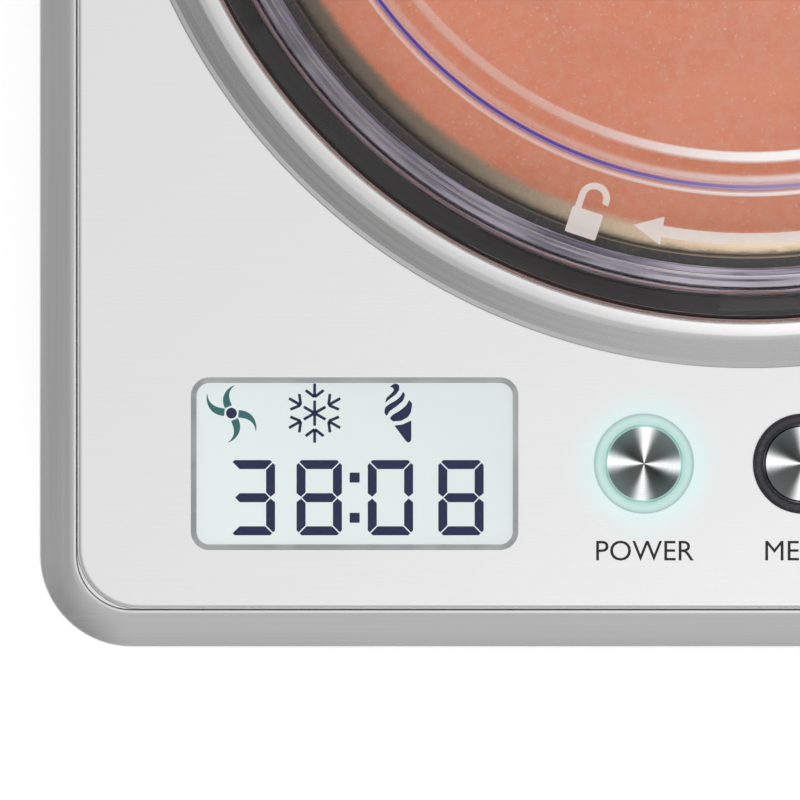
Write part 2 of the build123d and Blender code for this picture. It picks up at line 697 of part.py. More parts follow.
def insulation_tub():
    """Outer shell of the well, hung from the plate on four posts."""
    post_radius = 5.0
    reach = TUB_OUTER + post_radius + 2.0
    low = WELL_FLANGE_BOTTOM - 30.0
    shape = disc(TUB_OUTER, TUB_BOTTOM, WELL_FLANGE_BOTTOM)
    for turn in (40, 140, 220, 320):
        web = box((FOAM_OUTER + 0.5, -2.0, low), (reach, 2.0, WELL_FLANGE_BOTTOM))
        shape += Rot(0, 0, turn) * (web + disc(post_radius, low, PLATE_BOTTOM, reach, 0))
    shape -= disc(FOAM_OUTER, FOAM_BOTTOM, WELL_FLANGE_BOTTOM + 1)
    shape -= disc(8.0, TUB_BOTTOM - 1, FOAM_BOTTOM + 1)
    return BOWL_AT * shape - lead_holes(TUB_BOTTOM - 1, FOAM_BOTTOM + 1)


# ---------------------------------------------------------------- bowl, paddle and lid
def bowl():
    c = BOWL_CORNER
    r, w = BOWL_RADIUS, BOWL_WALL
    low, floor = BOWL_BOTTOM, BOWL_FLOOR_TOP
    half = math.sqrt(0.5)  # of a corner's radius, across and up to the middle of its arc
    outside = [
        Line((TUBE_OUTER - BOWL_TUBE_WALL, low), (r + w - c, low)),
        ThreePointArc((r + w - c, low), (r + w - c + c * half, low + c - c * half), (r + w, low + c)),
        Line((r + w, low + c), (r + w, RIM_BOTTOM)),
        Line((r + w, RIM_BOTTOM), (RIM_RADIUS, RIM_BOTTOM)),
        Line((RIM_RADIUS, RIM_BOTTOM), (RIM_RADIUS, RIM_TOP)),
        Line((RIM_RADIUS, RIM_TOP), (r, RIM_TOP)),
    ]
    k = c - w
    inside = [
        Line((r, RIM_TOP), (r, floor + k)),
        ThreePointArc((r, floor + k), (r - k + k * half, floor + k - k * half), (r - k, floor)),
        Line((r - k, floor), (TUBE_OUTER, floor)),
        Line((TUBE_OUTER, floor), (TUBE_OUTER, TUBE_TOP)),
        Line((TUBE_OUTER, TUBE_TOP), (BOWL_TUBE_BORE, TUBE_TOP)),
        Line((BOWL_TUBE_BORE, TUBE_TOP), (BOWL_TUBE_BORE, low)),
    ]
    shape = revolve(make_face(Plane.XZ * Wire(outside + inside)), Axis.Z)
    pin = along_x(BAIL_PIN_RADIUS, BAIL_EYE_THICKNESS + 1.8, r + 0.5 - BAIL_EYE_THICKNESS - 1.8, 0, BAIL_Z)
    return BOWL_AT * (shape + mirrored_x(pin))


def bowl_handle():
    """Wire handle that lies against the back wall of the bowl and swings up about its two pins."""
    r = BAIL_RADIUS
    first = math.radians(1.2)
    a, b = (r * math.cos(first), r * math.sin(first)), (-r * math.cos(first), r * math.sin(first))
    path = ThreePointArc((*a, BAIL_Z), (0, r, BAIL_Z), (*b, BAIL_Z))
    wire = sweep(Plane(origin=path @ 0, z_dir=path % 0) * Circle(BAIL_WIRE_RADIUS), path=path)
    x = BOWL_RADIUS - SLIDE_GAP - BAIL_EYE_THICKNESS
    eye = along_x(BAIL_EYE_RADIUS, BAIL_EYE_THICKNESS, x, 0, BAIL_Z)
    hole = along_x(BAIL_PIN_RADIUS + 0.1, BAIL_EYE_THICKNESS + 2, x - 1, 0, BAIL_Z)
    return BOWL_AT * (wire + mirrored_x(eye) - mirrored_x(hole))


def thrust_washer():
    return BOWL_AT * ring(BOWL_TUBE_BORE + FIT, TUBE_OUTER + 0.3, TUBE_TOP, WASHER_TOP)


def paddle():
    """Hub that drops over the bowl's tube, with two open-framed scraper blades."""
    foot = BOWL_FLOOR_TOP + 1.5
    hub = turned(
        (HUB_BORE, foot),
        (15.0, foot),
        (15.0, foot + 6.0),
        (13.0, HUB_SHOULDER),
        (12.0, HUB_TOP - 3.0),
        (9.0, HUB_TOP),
        (0.0, HUB_TOP),
        (0.0, HUB_SHOULDER),
        (HUB_BORE, HUB_SHOULDER),
    )
    socket = Pos(0, 0, HUB_SHOULDER - 1) * extrude(
        RegularPolygon((HEX_FLATS + 0.5) / 2, 6, major_radius=False), SHAFT_TOP + 1.0 - HUB_SHOULDER + 1
    )
    reach = PADDLE_RADIUS
    top = RIM_TOP - 24.0
    corner = BOWL_CORNER + 2.0
    outer = make_face(
        Plane.XZ
        * Polyline(
            (0, foot),
            (reach - corner, foot),
            (reach - corner * 0.3, foot + corner * 0.3),
            (reach, foot + corner),
            (reach, top),
            (reach - PADDLE_BAR, top),
            (12.0, HUB_TOP - 16.0),
            (0, HUB_TOP - 16.0),
            close=True,
        )
    )
    inner_edge = 18.0
    window = make_face(
        Plane.XZ
        * Polyline(
            (inner_edge, foot + PADDLE_BAR),
            (reach - corner, foot + PADDLE_BAR),
            (reach - PADDLE_BAR, foot + corner),
            (reach - PADDLE_BAR, top - 12.0),
            (inner_edge, HUB_TOP - 27.0),
            close=True,
        )
    )
    blade = extrude(outer, PADDLE_THICKNESS / 2, both=True)
    rib_x = (inner_edge + reach - PADDLE_BAR) / 2
    rib = box((rib_x - 3.0, -PADDLE_THICKNESS / 2, foot), (rib_x + 3.0, PADDLE_THICKNESS / 2, top - 6.0))
    blade -= extrude(window, PADDLE_THICKNESS, both=True) - rib
    blade -= disc(14.0, foot - 1, HUB_TOP + 1)
    shape = (hub - socket) + Rot(0, 0, PADDLE_ANGLE) * (blade + Rot(0, 0, 180) * blade)
    return BOWL_AT * (shape - disc(HUB_BORE, foot - 1, HUB_SHOULDER))


def lid_seal():
    return BOWL_AT * ring(SKIRT_INNER - 1.0, SKIRT_OUTER - 0.1, SEAL_BOTTOM, SEAL_BOTTOM + SEAL_HEIGHT)


def lid():
    """Clear stepped lid with a skirt, four lugs and a filler neck."""
    t = LID_THICKNESS
    step = LID_STEP_RADIUS
    neck_top = LID_CENTRE_TOP + FILLER_HEIGHT
    shape = turned(
        (LID_RADIUS, LID_FLANGE_BOTTOM),
        (LID_RADIUS, LID_FLANGE_TOP),
        (SKIRT_OUTER + 0.6, LID_FLANGE_TOP),
        (SKIRT_OUTER, LID_FLANGE_TOP + 0.6),
        (SKIRT_OUTER, LID_TOP - 1.6),
        (SKIRT_OUTER - 0.5, LID_TOP - 0.5),
        (SKIRT_OUTER - 1.6, LID_TOP),
        (step, LID_TOP),
        (step - LID_STEP_SLOPE, LID_CENTRE_TOP),
        (FILLER_RADIUS + FILLER_WALL, LID_CENTRE_TOP),
        (FILLER_RADIUS + FILLER_WALL, neck_top),
        (FILLER_RADIUS, neck_top),
        (FILLER_RADIUS, LID_CENTRE_TOP - t),
        (step - LID_STEP_SLOPE - 1.0, LID_CENTRE_TOP - t),
        (step - 1.0, LID_TOP - t),
        (SKIRT_INNER, LID_TOP - t),
        (SKIRT_INNER, SKIRT_BOTTOM),
        (SKIRT_OUTER, SKIRT_BOTTOM),
        (SKIRT_OUTER, LID_FLANGE_BOTTOM),
    )
    for n in range(LUG_COUNT):
        start = first_lug_angle() + n * 360.0 / LUG_COUNT
        shape += sector(SKIRT_OUTER - 0.5, LUG_RADIUS, LUG_BOTTOM, LUG_TOP, start, LUG_ARC)
    return BOWL_AT * shape


def filler_cap():
    """Clear cap with a finger bar; its skirt drops over the neck of the lid."""
    inner = FILLER_RADIUS + FILLER_WALL + SLIDE_GAP
    top = LID_CENTRE_TOP + FILLER_HEIGHT
    roof = top + SLIDE_GAP
    shape = turned(
        (0.0, roof),
        (inner, roof),
        (inner, LID_CENTRE_TOP + SLIDE_GAP),
        (inner + 1.8, LID_CENTRE_TOP + SLIDE_GAP),
        (inner + 1.8, roof + 1.2),
        (inner + 0.8, roof + 2.0),
        (0.0, roof + 2.0),
    )
    bar = slab(36.0, 6.0, 2.9, roof + 1.0, roof + 2.0 + CAP_KNOB_HEIGHT)
    bar = fillet(bar.edges().group_by(Axis.Z)[-1], 1.5)
    return BOWL_AT * (shape + bar)


# ---------------------------------------------------------------- controls
def button_xs():
    return [BUTTON_FIRST_X + n * BUTTON_PITCH for n in range(BUTTON_COUNT)]


def button_ring():
    """Fixed ring round one button: a flange on the plate and a sleeve through it."""
    z = PLATE_TOP
    bore = BUTTON_RADIUS + FIT
    sleeve = BEZEL_RING_RADIUS - 0.8
    return turned(
        (bore, z - 3.5),
        (bore, z + 0.9),
        (bore + 0.5, z + BEZEL_RING_HEIGHT),
        (BEZEL_RING_RADIUS - 0.7, z + BEZEL_RING_HEIGHT),
        (BEZEL_RING_RADIUS, z + 0.6),
        (BEZEL_RING_RADIUS, z),
        (sleeve, z),
        (sleeve, z - 10.0),
        (bore + 0.55, z - 10.0),
        (bore + 0.55, z - 3.5),
    )


def power_light_ring():
    return Pos(button_xs()[0], CONTROL_Y, 0) * button_ring()


def button_rings():
    return Compound(children=[Pos(x, CONTROL_Y, 0) * button_ring() for x in button_xs()[1:]])


def button(x):
    """A push button: dished metal cap, a shoulder that holds it in its ring, and a stem."""
    z = PLATE_TOP
    r = BUTTON_RADIUS
    shape = turned(
        (0, stem_bottom()),
        (3.0, stem_bottom()),
        (3.0, z - 5.3),
        (r + 0.55, z - 5.3),
        (r + 0.55, z - 3.8),
        (r, z - 3.8),
        (r, z + 0.7),
        (r - 0.3, z + 1.0),
        (0, z + 0.6),
    )
    return Pos(x, CONTROL_Y, 0) * shape


def stem_bottom():
    return PLATE_TOP - 11.0


def board_top():
    return stem_bottom() - BUTTON_TRAVEL - 5.0


def board_span():
    left = DISPLAY_X - DISPLAY_WIDTH / 2 - 3.0
    right = button_xs()[-1] + 12.0
    front = -BODY_DEPTH / 2 + BEZEL_WIDTH + 7.0
    back = BOWL_Y - TUB_OUTER - 1.5
    return left, right, front, back


def control_board():
    """Board under the controls, with one switch under each button at the height it has when pressed."""
    left, right, front, back = board_span()
    top = board_top()
    board = box((left, front, top - 1.6), (right, back, top))
    for x in button_xs():
        board += box((x - 3.0, CONTROL_Y - 3.0, top), (x + 3.0, CONTROL_Y + 3.0, top + 3.2))
        board += disc(1.7, top, stem_bottom() - BUTTON_TRAVEL - 0.1, x, CONTROL_Y)
    return board


def lens_top():
    return PLATE_TOP - 1.0


def display_lens():
    """Clear window that fills the opening of the plate, with a flange under it."""
    width, depth = DISPLAY_WIDTH - 2 * DISPLAY_CHAMFER - FIT, DISPLAY_DEPTH - 2 * DISPLAY_CHAMFER - FIT
    corner = DISPLAY_CORNER - DISPLAY_CHAMFER - FIT / 2
    lens = slab(width, depth, corner, PLATE_BOTTOM - 0.1, lens_top(), DISPLAY_X, CONTROL_Y)
    flange = 2 * DISPLAY_FLANGE
    lens += slab(
        width + flange, depth + flange, corner, PLATE_BOTTOM - 1.0, PLATE_BOTTOM, DISPLAY_X, CONTROL_Y
    )
    return lens


def display_panel():
    """Glass liquid-crystal panel on its light box, which stands on the board."""
    width, depth = DISPLAY_WIDTH - 2 * DISPLAY_CHAMFER + 1.5, DISPLAY_DEPTH - 2 * DISPLAY_CHAMFER + 1.5
    return slab(width, depth, 0.8, board_top(), PLATE_BOTTOM - 1.0, DISPLAY_X, CONTROL_Y)


# ---------------------------------------------------------------- drive
def stadium(radius, bottom, top):
    """The gearbox's outline: a slot that covers the three gear axes."""
    ends = disc(radius, bottom, top, 0, BOWL_Y) + disc(radius, bottom, top, 0, MOTOR_Y)
    return ends + box((-radius, MOTOR_Y, bottom), (radius, BOWL_Y, top))


def gearbox_base():
    """Cast housing of the gears, with the fixed pin that the idler turns on."""
    inner = WHEEL_TIP + 2.5
    lid_bottom = TUB_BOTTOM - 4.0
    shape = stadium(inner + GEARBOX_WALL, GEARBOX_BOTTOM, lid_bottom)
    shape -= stadium(inner, GEARBOX_BOTTOM + 3.0, lid_bottom + 1)
    shape += disc(6.0, GEARBOX_BOTTOM, GEARBOX_BOTTOM + 5.0, 0, BOWL_Y)
    shape += disc(IDLER_PIN_RADIUS, GEARBOX_BOTTOM, TUB_BOTTOM, 0, IDLER_Y)
    shape -= disc(SHAFT_RADIUS + 0.05, GEARBOX_BOTTOM - 1, lid_bottom + 1, 0, BOWL_Y)
    shape -= disc(6.0, GEARBOX_BOTTOM - 1, lid_bottom + 1, 0, MOTOR_Y)
    for x, y in gearbox_screw_places():
        shape += disc(4.0, GEARBOX_BOTTOM, lid_bottom, x, y)
        shape -= disc(1.6, GEARBOX_BOTTOM - 1, lid_bottom + 1, x, y)
    return shape


def gearbox_screw_places():
    reach = WHEEL_TIP + 2.5 + GEARBOX_WALL + 3.6
    return [(sx * reach, y) for sx in (-1, 1) for y in (BOWL_Y - 4.0, MOTOR_Y + 4.0)]


def gearbox_cover():
    top, bottom = TUB_BOTTOM, TUB_BOTTOM - 4.0
    shape = stadium(WHEEL_TIP + 2.5 + GEARBOX_WALL, bottom, top)
    for x, y in gearbox_screw_places():
        shape += disc(4.0, bottom, top, x, y) - disc(1.6, bottom - 1, top + 1, x, y)
    shape -= disc(SHAFT_RADIUS + 0.05, bottom - 1, top + 1, 0, BOWL_Y)
    return shape - disc(IDLER_PIN_RADIUS, bottom - 1, top + 1, 0, IDLER_Y)


def gearbox_screws():
    made = []
    for x, y in gearbox_screw_places():
        head = disc(3.0, GEARBOX_BOTTOM - 2.2, GEARBOX_BOTTOM, x, y)
        made.append(head + disc(1.5, GEARBOX_BOTTOM, TUB_BOTTOM, x, y))
    return Compound(children=made)


def gear_levels():
    """Heights of the two pairs of gears: first stage low, second stage above it."""
    first = GEARBOX_BOTTOM + 6.0
    second = first + 10.0
    return (first, first + 6.0), (second, second + 10.0)


def output_gear():
    _, (bottom, top) = gear_levels()
    tooth_at = -90.0 + 180.0 / WHEEL_TEETH
    return BOWL_AT * gear(WHEEL_TEETH, bottom, top, SHAFT_RADIUS, tooth_at)


def drive_shaft():
    shaft = disc(SHAFT_RADIUS, GEARBOX_BOTTOM + 1.0, TUBE_TOP - 3.0)
    hexagon = extrude(RegularPolygon(HEX_FLATS / 2, 6, major_radius=False), SHAFT_TOP - TUBE_TOP + 3.0)
    return BOWL_AT * (shaft + Pos(0, 0, TUBE_TOP - 3.0) * hexagon)


def idler_gear():
    (low, low_top), (high, high_top) = gear_levels()
    bore = IDLER_PIN_RADIUS + 0.05
    wheel = gear(WHEEL_TEETH, low, low_top, bore, -90.0)
    small = gear(PINION_TEETH, low_top, high_top, bore, 90.0)
    return Pos(0, IDLER_Y, 0) * (wheel + small)


def motor_pinion():
    (low, low_top), _ = gear_levels()
    pinion = gear(PINION_TEETH, low - 1.0, low_top + 1.0, 0, 90.0 + 180.0 / PINION_TEETH)
    return Pos(0, MOTOR_Y, 0) * (pinion + disc(3.0, GEARBOX_BOTTOM - 6.0, low))


def drive_motor():
    top = GEARBOX_BOTTOM
    can = disc(MOTOR_RADIUS, top - MOTOR_LENGTH, top - 2.0)
    can = fillet(can.edges().group_by(Axis.Z)[0], 3.0)
    can += disc(MOTOR_RADIUS - 4.0, top - 2.0, top)
    can -= disc(3.2, top - 8.0, top + 1)
    return Pos(0, MOTOR_Y, 0) * can


def shaft_bush():
    bottom, top = TUB_BOTTOM, WELL_BOTTOM - 2.0
    return BOWL_AT * ring(SHAFT_RADIUS + 0.05, 8.0, bottom, top)


def shaft_seal():
    return BOWL_AT * ring(SHAFT_RADIUS + 0.02, 8.0, WELL_BOTTOM - 2.0, WELL_FLOOR_TOP + 0.6)


# ---------------------------------------------------------------- cooling machinery
def compressor_bolt_places():
    dx, dy = COMPRESSOR_RADIUS + 4.0, COMPRESSOR_RADIUS - 14.0
    return [(COMPRESSOR_X + sx * dx, COMPRESSOR_Y + sy * dy) for sx in (-1, 1) for sy in (-1, 1)]


def compressor_grommets():
    made = []
    for x, y in compressor_bolt_places():
        made.append(ring(3.2, 8.5, TRAY_FLOOR_TOP, TRAY_FLOOR_TOP + GROMMET_HEIGHT, x, y))
    return Compound(children=made)


def compressor_bolts():
    made = []
    plate_top = TRAY_FLOOR_TOP + GROMMET_HEIGHT + FEET_PLATE
    for x, y in compressor_bolt_places():
        head = Pos(x, y, plate_top) * extrude(RegularPolygon(5.0, 6, major_radius=False), 5.0)
        made.append(head + disc(3.0, TRAY_BOTTOM, plate_top, x, y))
    return Compound(children=made)


def compressor_lower():
    """Lower half of the shell, welded to its mounting plate."""
    r, w = COMPRESSOR_RADIUS, COMPRESSOR_WALL
    low, seam = COMPRESSOR_BOTTOM, COMPRESSOR_SEAM
    shape = turned(
        (0, low),
        (r - 8.0, low),
        (r, low + 10.0),
        (r, seam - 4.0),
        (r + 4.0, seam - 4.0),
        (r + 4.0, seam),
        (r - w, seam),
        (r - w, low + 11.0),
        (r - 9.0, low + w),
        (0, low + w),
    )
    shape = Pos(COMPRESSOR_X, COMPRESSOR_Y, 0) * shape
    width, depth = 2 * COMPRESSOR_RADIUS + 26.0, 2 * COMPRESSOR_RADIUS - 10.0
    shape += slab(width, depth, 10.0, low - FEET_PLATE, low, COMPRESSOR_X, COMPRESSOR_Y)
    for x, y in compressor_bolt_places():
        shape -= disc(3.2, low - FEET_PLATE - 1, low + 1, x, y)
    return shape


def port_height():
    return COMPRESSOR_SEAM + 26.0


def compressor_ports():
    """End faces (x, y) of the discharge and suction stubs, on the right side of the compressor."""
    x = COMPRESSOR_X + COMPRESSOR_RADIUS + 8.0
    return (x, COMPRESSOR_Y - 16.0), (x, COMPRESSOR_Y + 16.0)


def compressor_upper():
    r, w = COMPRESSOR_RADIUS, COMPRESSOR_WALL
    seam, top = COMPRESSOR_SEAM, COMPRESSOR_TOP
    shape = turned(
        (r + 4.0, seam),
        (r + 4.0, seam + 3.0),
        (r, seam + 3.0),
        (r, top - 22.0),
        (r - 7.0, top - 9.0),
        (r - 22.0, top - 2.0),
        (0, top),
        (0, top - w),
        (r - 23.0, top - w - 2.0),
        (r - 9.5, top - 11.0),
        (r - w, top - 23.0),
        (r - w, seam),
    )
    shape = Pos(COMPRESSOR_X, COMPRESSOR_Y, 0) * shape
    for x, y in compressor_ports():
        shape += along_x(LINE_RADIUS + 1.2, 14.0, x - 14.0, y, port_height())
    return shape


def pump_block():
    low = COMPRESSOR_BOTTOM + COMPRESSOR_WALL
    return disc(38.0, low, COMPRESSOR_TOP - 42.0, COMPRESSOR_X, COMPRESSOR_Y)


def relay_cover():
    x = COMPRESSOR_X - COMPRESSOR_RADIUS - 19.0
    low = COMPRESSOR_SEAM - 46.0
    cover = box((x, COMPRESSOR_Y - 17.0, low), (x + 30.0, COMPRESSOR_Y + 17.0, low + 38.0))
    return cover - disc(COMPRESSOR_RADIUS + FIT, low - 1, low + 50.0, COMPRESSOR_X, COMPRESSOR_Y)


def condenser_run_z(n):
    return CONDENSER_BOTTOM + 7.0 + n * CONDENSER_RUN_PITCH


def condenser_tube():
    """Serpentine tube along Y, one run above the other, with its outlet led to the filter drier."""
    bend = CONDENSER_RUN_PITCH / 2
    front, back = CONDENSER_Y - CONDENSER_LENGTH / 2, CONDENSER_Y + CONDENSER_LENGTH / 2
    x = CONDENSER_X
    edges = []
    for n in range(CONDENSER_RUNS):
        z = condenser_run_z(n)
        start, end = (front, back) if n % 2 == 0 else (back, front)
        edges.append(Line((x, start, z), (x, end, z)))
        if n < CONDENSER_RUNS - 1:
            out = bend if n % 2 == 0 else -bend
            edges.append(ThreePointArc((x, end, z), (x, end + out, z + bend), (x, end, z + 2 * bend)))
    path = Wire(edges)
    serpentine = sweep(Plane(origin=path @ 0, z_dir=path % 0) * Circle(CONDENSER_TUBE_RADIUS), path=path)
    px, py, low = drier_place()
    bottom = condenser_run_z(0)
    route = (x, front + 3.0, bottom), (x, py, bottom), (px, py, bottom), (px, py, low)
    outlet = pipe(LINE_RADIUS, 7.0, *route)
    return serpentine + outlet


def condenser_fins():
    low, high = CONDENSER_BOTTOM, condenser_run_z(CONDENSER_RUNS - 1) + 7.0
    fin = box(
        (CONDENSER_X - CONDENSER_DEPTH / 2, 0, low), (CONDENSER_X + CONDENSER_DEPTH / 2, FIN_THICKNESS, high)
    )
    for n in range(CONDENSER_RUNS):
        fin -= along_y(CONDENSER_TUBE_RADIUS + 0.05, 4, CONDENSER_X, -1, condenser_run_z(n))
    first = CONDENSER_Y - CONDENSER_LENGTH / 2 + 4.0
    pitch = (CONDENSER_LENGTH - 8.0 - FIN_THICKNESS) / (FIN_COUNT - 1)
    return Compound(children=[Pos(0, first + n * pitch, 0) * fin for n in range(FIN_COUNT)])


def condenser_bracket():
    """Foot of the condenser and the fan, on the floor of the tray."""
    half = FAN_SIZE / 2
    floor = box(
        (FAN_X, CONDENSER_Y - half, TRAY_FLOOR_TOP),
        (CONDENSER_X + CONDENSER_DEPTH / 2, CONDENSER_Y + half, TRAY_FLOOR_TOP + 2.0),
    )
    for y in (CONDENSER_Y - half, CONDENSER_Y + half - 2.0):
        floor += box((FAN_X, y, TRAY_FLOOR_TOP), (FAN_X + FAN_DEPTH, y + 2.0, FAN_Z - half))
        floor += box(
            (CONDENSER_X - CONDENSER_DEPTH / 2, y, TRAY_FLOOR_TOP),
            (CONDENSER_X + CONDENSER_DEPTH / 2, y + 2.0, CONDENSER_BOTTOM),
        )
    return floor


def fan_frame():
    """Square frame with four arms that carry the motor in the middle."""
    half = FAN_SIZE / 2
    frame = box(
        (FAN_X, CONDENSER_Y - half, FAN_Z - half), (FAN_X + FAN_DEPTH, CONDENSER_Y + half, FAN_Z + half)
    )
    frame -= along_x(half - 2.0, FAN_DEPTH + 2, FAN_X - 1, CONDENSER_Y, FAN_Z)
    hub = along_x(17.0, 3.0, FAN_X, CONDENSER_Y, FAN_Z)
    arm = box((FAN_X, CONDENSER_Y - 2.5, FAN_Z + 15.0), (FAN_X + 3.0, CONDENSER_Y + 2.5, FAN_Z + half - 1.0))
    middle = Axis((0, CONDENSER_Y, FAN_Z), (1, 0, 0))
    for n in range(4):
        hub += arm.rotate(middle, 45.0 + 90.0 * n)
    motor = along_x(14.0, 9.4, FAN_X + 1.0, CONDENSER_Y, FAN_Z)
    return frame + hub + motor


def fan_rotor():
    """Hub like a cup over the motor, with pitched blades."""
    bottom = FAN_X + 5.0
    hub = along_x(18.5, FAN_DEPTH - 6.0, bottom, 0, 0) - along_x(15.0, 7.0, bottom - 1, 0, 0)
    reach = FAN_SIZE / 2 - 2.0 - 1.5
    blade = Pos(bottom + 9.0, 0, reach / 2 + 7.5) * Rot(0, 0, 38) * Box(1.8, 24.0, reach - 15.0)
    blades = Rot(0, 0, 0) * blade
    for n in range(1, FAN_BLADES):
        blades += Rot(360.0 / FAN_BLADES * n, 0, 0) * blade
    blades &= along_x(reach, FAN_DEPTH - 6.0, bottom, 0, 0)
    blades -= along_x(17.0, FAN_DEPTH, bottom - 1, 0, 0)
    return Pos(0, CONDENSER_Y, FAN_Z) * (hub + blades)


def drier_place():
    return FAN_X - 24.0, CONDENSER_Y - CONDENSER_LENGTH / 2 - 14.0, condenser_run_z(0) + 26.0


def filter_drier():
    x, y, low = drier_place()
    shape = turned(
        (0, low),
        (LINE_RADIUS + 0.6, low),
        (LINE_RADIUS + 0.6, low + 6.0),
        (8.0, low + 12.0),
        (8.0, low + 52.0),
        (LINE_RADIUS, low + 58.0),
        (LINE_RADIUS, low + 62.0),
        (0, low + 62.0),
    )
    return Pos(x, y, 0) * shape


def discharge_line():
    """From the compressor to the top run of the condenser."""
    (x, y), _ = compressor_ports()
    top = condenser_run_z(CONDENSER_RUNS - 1)
    front = CONDENSER_Y - CONDENSER_LENGTH / 2
    turn = front - 26.0
    return pipe(
        LINE_RADIUS,
        8.0,
        (x, y, port_height()),
        (x + 17.0, y, port_height()),
        (x + 17.0, turn, top),
        (CONDENSER_X, turn, top),
        (CONDENSER_X, front, top),
    )


def capillary_tube():
    """From the filter drier to the lower end of the evaporator coil."""
    x, y, low = drier_place()
    (ex, ey), _ = lead_places()
    start = low + 62.0
    level = start + 12.0
    return pipe(CAPILLARY_RADIUS, 5.0, (x, y, start), (x, y, level), (ex, ey, level), (ex, ey, lead_bottom()))


def suction_line():
    """From the upper end of the evaporator coil back to the compressor."""
    _, (ex, ey) = lead_places()
    _, (px, py) = compressor_ports()
    level = GEARBOX_BOTTOM - 3.0
    side = FAN_X - 8.0
    return pipe(
        LINE_RADIUS,
        8.0,
        (ex, ey, lead_bottom()),
        (ex, ey, level),
        (side, ey, level),
        (side, py, level),
        (side, py, port_height()),
        (px, py, port_height()),
    )


# ---------------------------------------------------------------- power board
def power_board_span():
    left, front = -INSIDE_X + 16.0, -INSIDE_Y + 16.0
    return (left, front), (left + 96.0, front + 62.0)


def board_post_places():
    (left, front), (right, back) = power_board_span()
    return [(x, y) for x in (left + 5.0, right - 5.0) for y in (front + 5.0, back - 5.0)]


def power_board():
    (left, front), (right, back) = power_board_span()
    z = TRAY_FLOOR_TOP + BOARD_POST_HEIGHT
    return box((left, front, z), (right, back, z + 1.6))


def board_components():
    """Transformer, two capacitors, a relay and a heat sink on the power board."""
    (left, front), (right, back) = power_board_span()
    z = TRAY_FLOOR_TOP + BOARD_POST_HEIGHT + 1.6
    made = [
        box((left + 10.0, front + 12.0, z), (left + 42.0, front + 40.0, z + 28.0)),
        disc(7.0, z, z + 26.0, left + 54.0, front + 20.0),
        disc(7.0, z, z + 26.0, left + 54.0, front + 40.0),
        box((left + 66.0, front + 10.0, z), (left + 85.0, front + 25.0, z + 16.0)),
        box((left + 66.0, back - 26.0, z), (left + 88.0, back - 22.0, z + 30.0)),
    ]
    return Compound(children=made)


NODES = {
    "base_tray": base_tray,
    "rubber_feet": rubber_feet,
    "housing_wrap": housing_wrap,
    "rear_panel": rear_panel,
    "rear_panel_screws": rear_panel_screws,
    "power_inlet": power_inlet,
    "inlet_pins": inlet_pins,
    "top_frame": top_frame,
    "top_plate": top_plate,
    "collar_ring": collar_ring,
    "locking_ring": locking_ring,
    "cooling_well": cooling_well,
    "evaporator_coil": evaporator_coil,
    "well_insulation": well_insulation,
    "insulation_tub": insulation_tub,
    "bowl": bowl,
    "bowl_handle": bowl_handle,
    "thrust_washer": thrust_washer,
    "paddle": paddle,
    "lid_seal": lid_seal,
    "lid": lid,
    "filler_cap": filler_cap,
    "power_light_ring": power_light_ring,
    "button_rings": button_rings,
    "control_board": control_board,
    "display_lens": display_lens,
    "display_panel": display_panel,
    "gearbox_base": gearbox_base,
    "gearbox_cover": gearbox_cover,
    "gearbox_screws": gearbox_screws,
    "output_gear": output_gear,
    "drive_shaft": drive_shaft,
    "idler_gear": idler_gear,
    "motor_pinion": motor_pinion,
    "drive_motor": drive_motor,
    "shaft_bush": shaft_bush,
    "shaft_seal": shaft_seal,
    "compressor_grommets": compressor_grommets,
    "compressor_bolts": compressor_bolts,
    "compressor_lower": compressor_lower,
    "compressor_upper": compressor_upper,
    "pump_block": pump_block,
    "relay_cover": relay_cover,
    "condenser_tube": condenser_tube,
    "condenser_fins": condenser_fins,
    "condenser_bracket": condenser_bracket,
    "fan_frame": fan_frame,
    "fan_rotor": fan_rotor,
    "filter_drier": filter_drier,
    "discharge_line": discharge_line,
    "suction_line": suction_line,
    "capillary_tube": capillary_tube,
    "power_board": power_board,
    "board_components": board_components,
}


def main():
    for name, make in NODES.items():
        export_step(make(), f"parts/{name}.step")
    for name, x in zip(BUTTON_NAMES, button_xs()):
        export_step(button(x), f"parts/{name}_button.step")


main()
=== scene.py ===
import math

import bpy
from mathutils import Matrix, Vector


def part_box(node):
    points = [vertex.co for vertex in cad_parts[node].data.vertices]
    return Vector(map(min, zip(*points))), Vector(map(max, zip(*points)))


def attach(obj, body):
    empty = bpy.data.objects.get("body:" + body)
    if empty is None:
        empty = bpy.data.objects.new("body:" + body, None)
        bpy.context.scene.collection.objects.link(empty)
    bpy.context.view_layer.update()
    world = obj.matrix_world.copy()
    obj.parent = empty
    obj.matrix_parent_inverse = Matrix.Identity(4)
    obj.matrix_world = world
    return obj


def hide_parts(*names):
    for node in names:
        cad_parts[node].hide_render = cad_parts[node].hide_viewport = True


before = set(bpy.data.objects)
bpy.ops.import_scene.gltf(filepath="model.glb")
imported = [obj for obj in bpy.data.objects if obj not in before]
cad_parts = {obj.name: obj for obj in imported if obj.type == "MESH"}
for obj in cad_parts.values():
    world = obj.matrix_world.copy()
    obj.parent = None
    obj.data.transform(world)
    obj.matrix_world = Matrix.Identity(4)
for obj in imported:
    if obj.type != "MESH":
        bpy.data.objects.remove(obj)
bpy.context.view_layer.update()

bl_info = {
    "name": "Ice cream maker",
    "version": (1, 0, 0),
    "blender": (4, 5, 0),
    "location": "3D View > Sidebar > Ice cream maker",
    "description": "Models the visible pieces of an upright ice cream maker round its packed frame",
    "category": "Object",
}

MM = 0.001


# ---------------------------------------------------------------- places taken from the frame
def middle(node):
    """The middle of a node's box, in metres."""
    low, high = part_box(node)
    return [(a + b) / 2 for a, b in zip(low, high)]


def top(node):
    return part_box(node)[1][2]


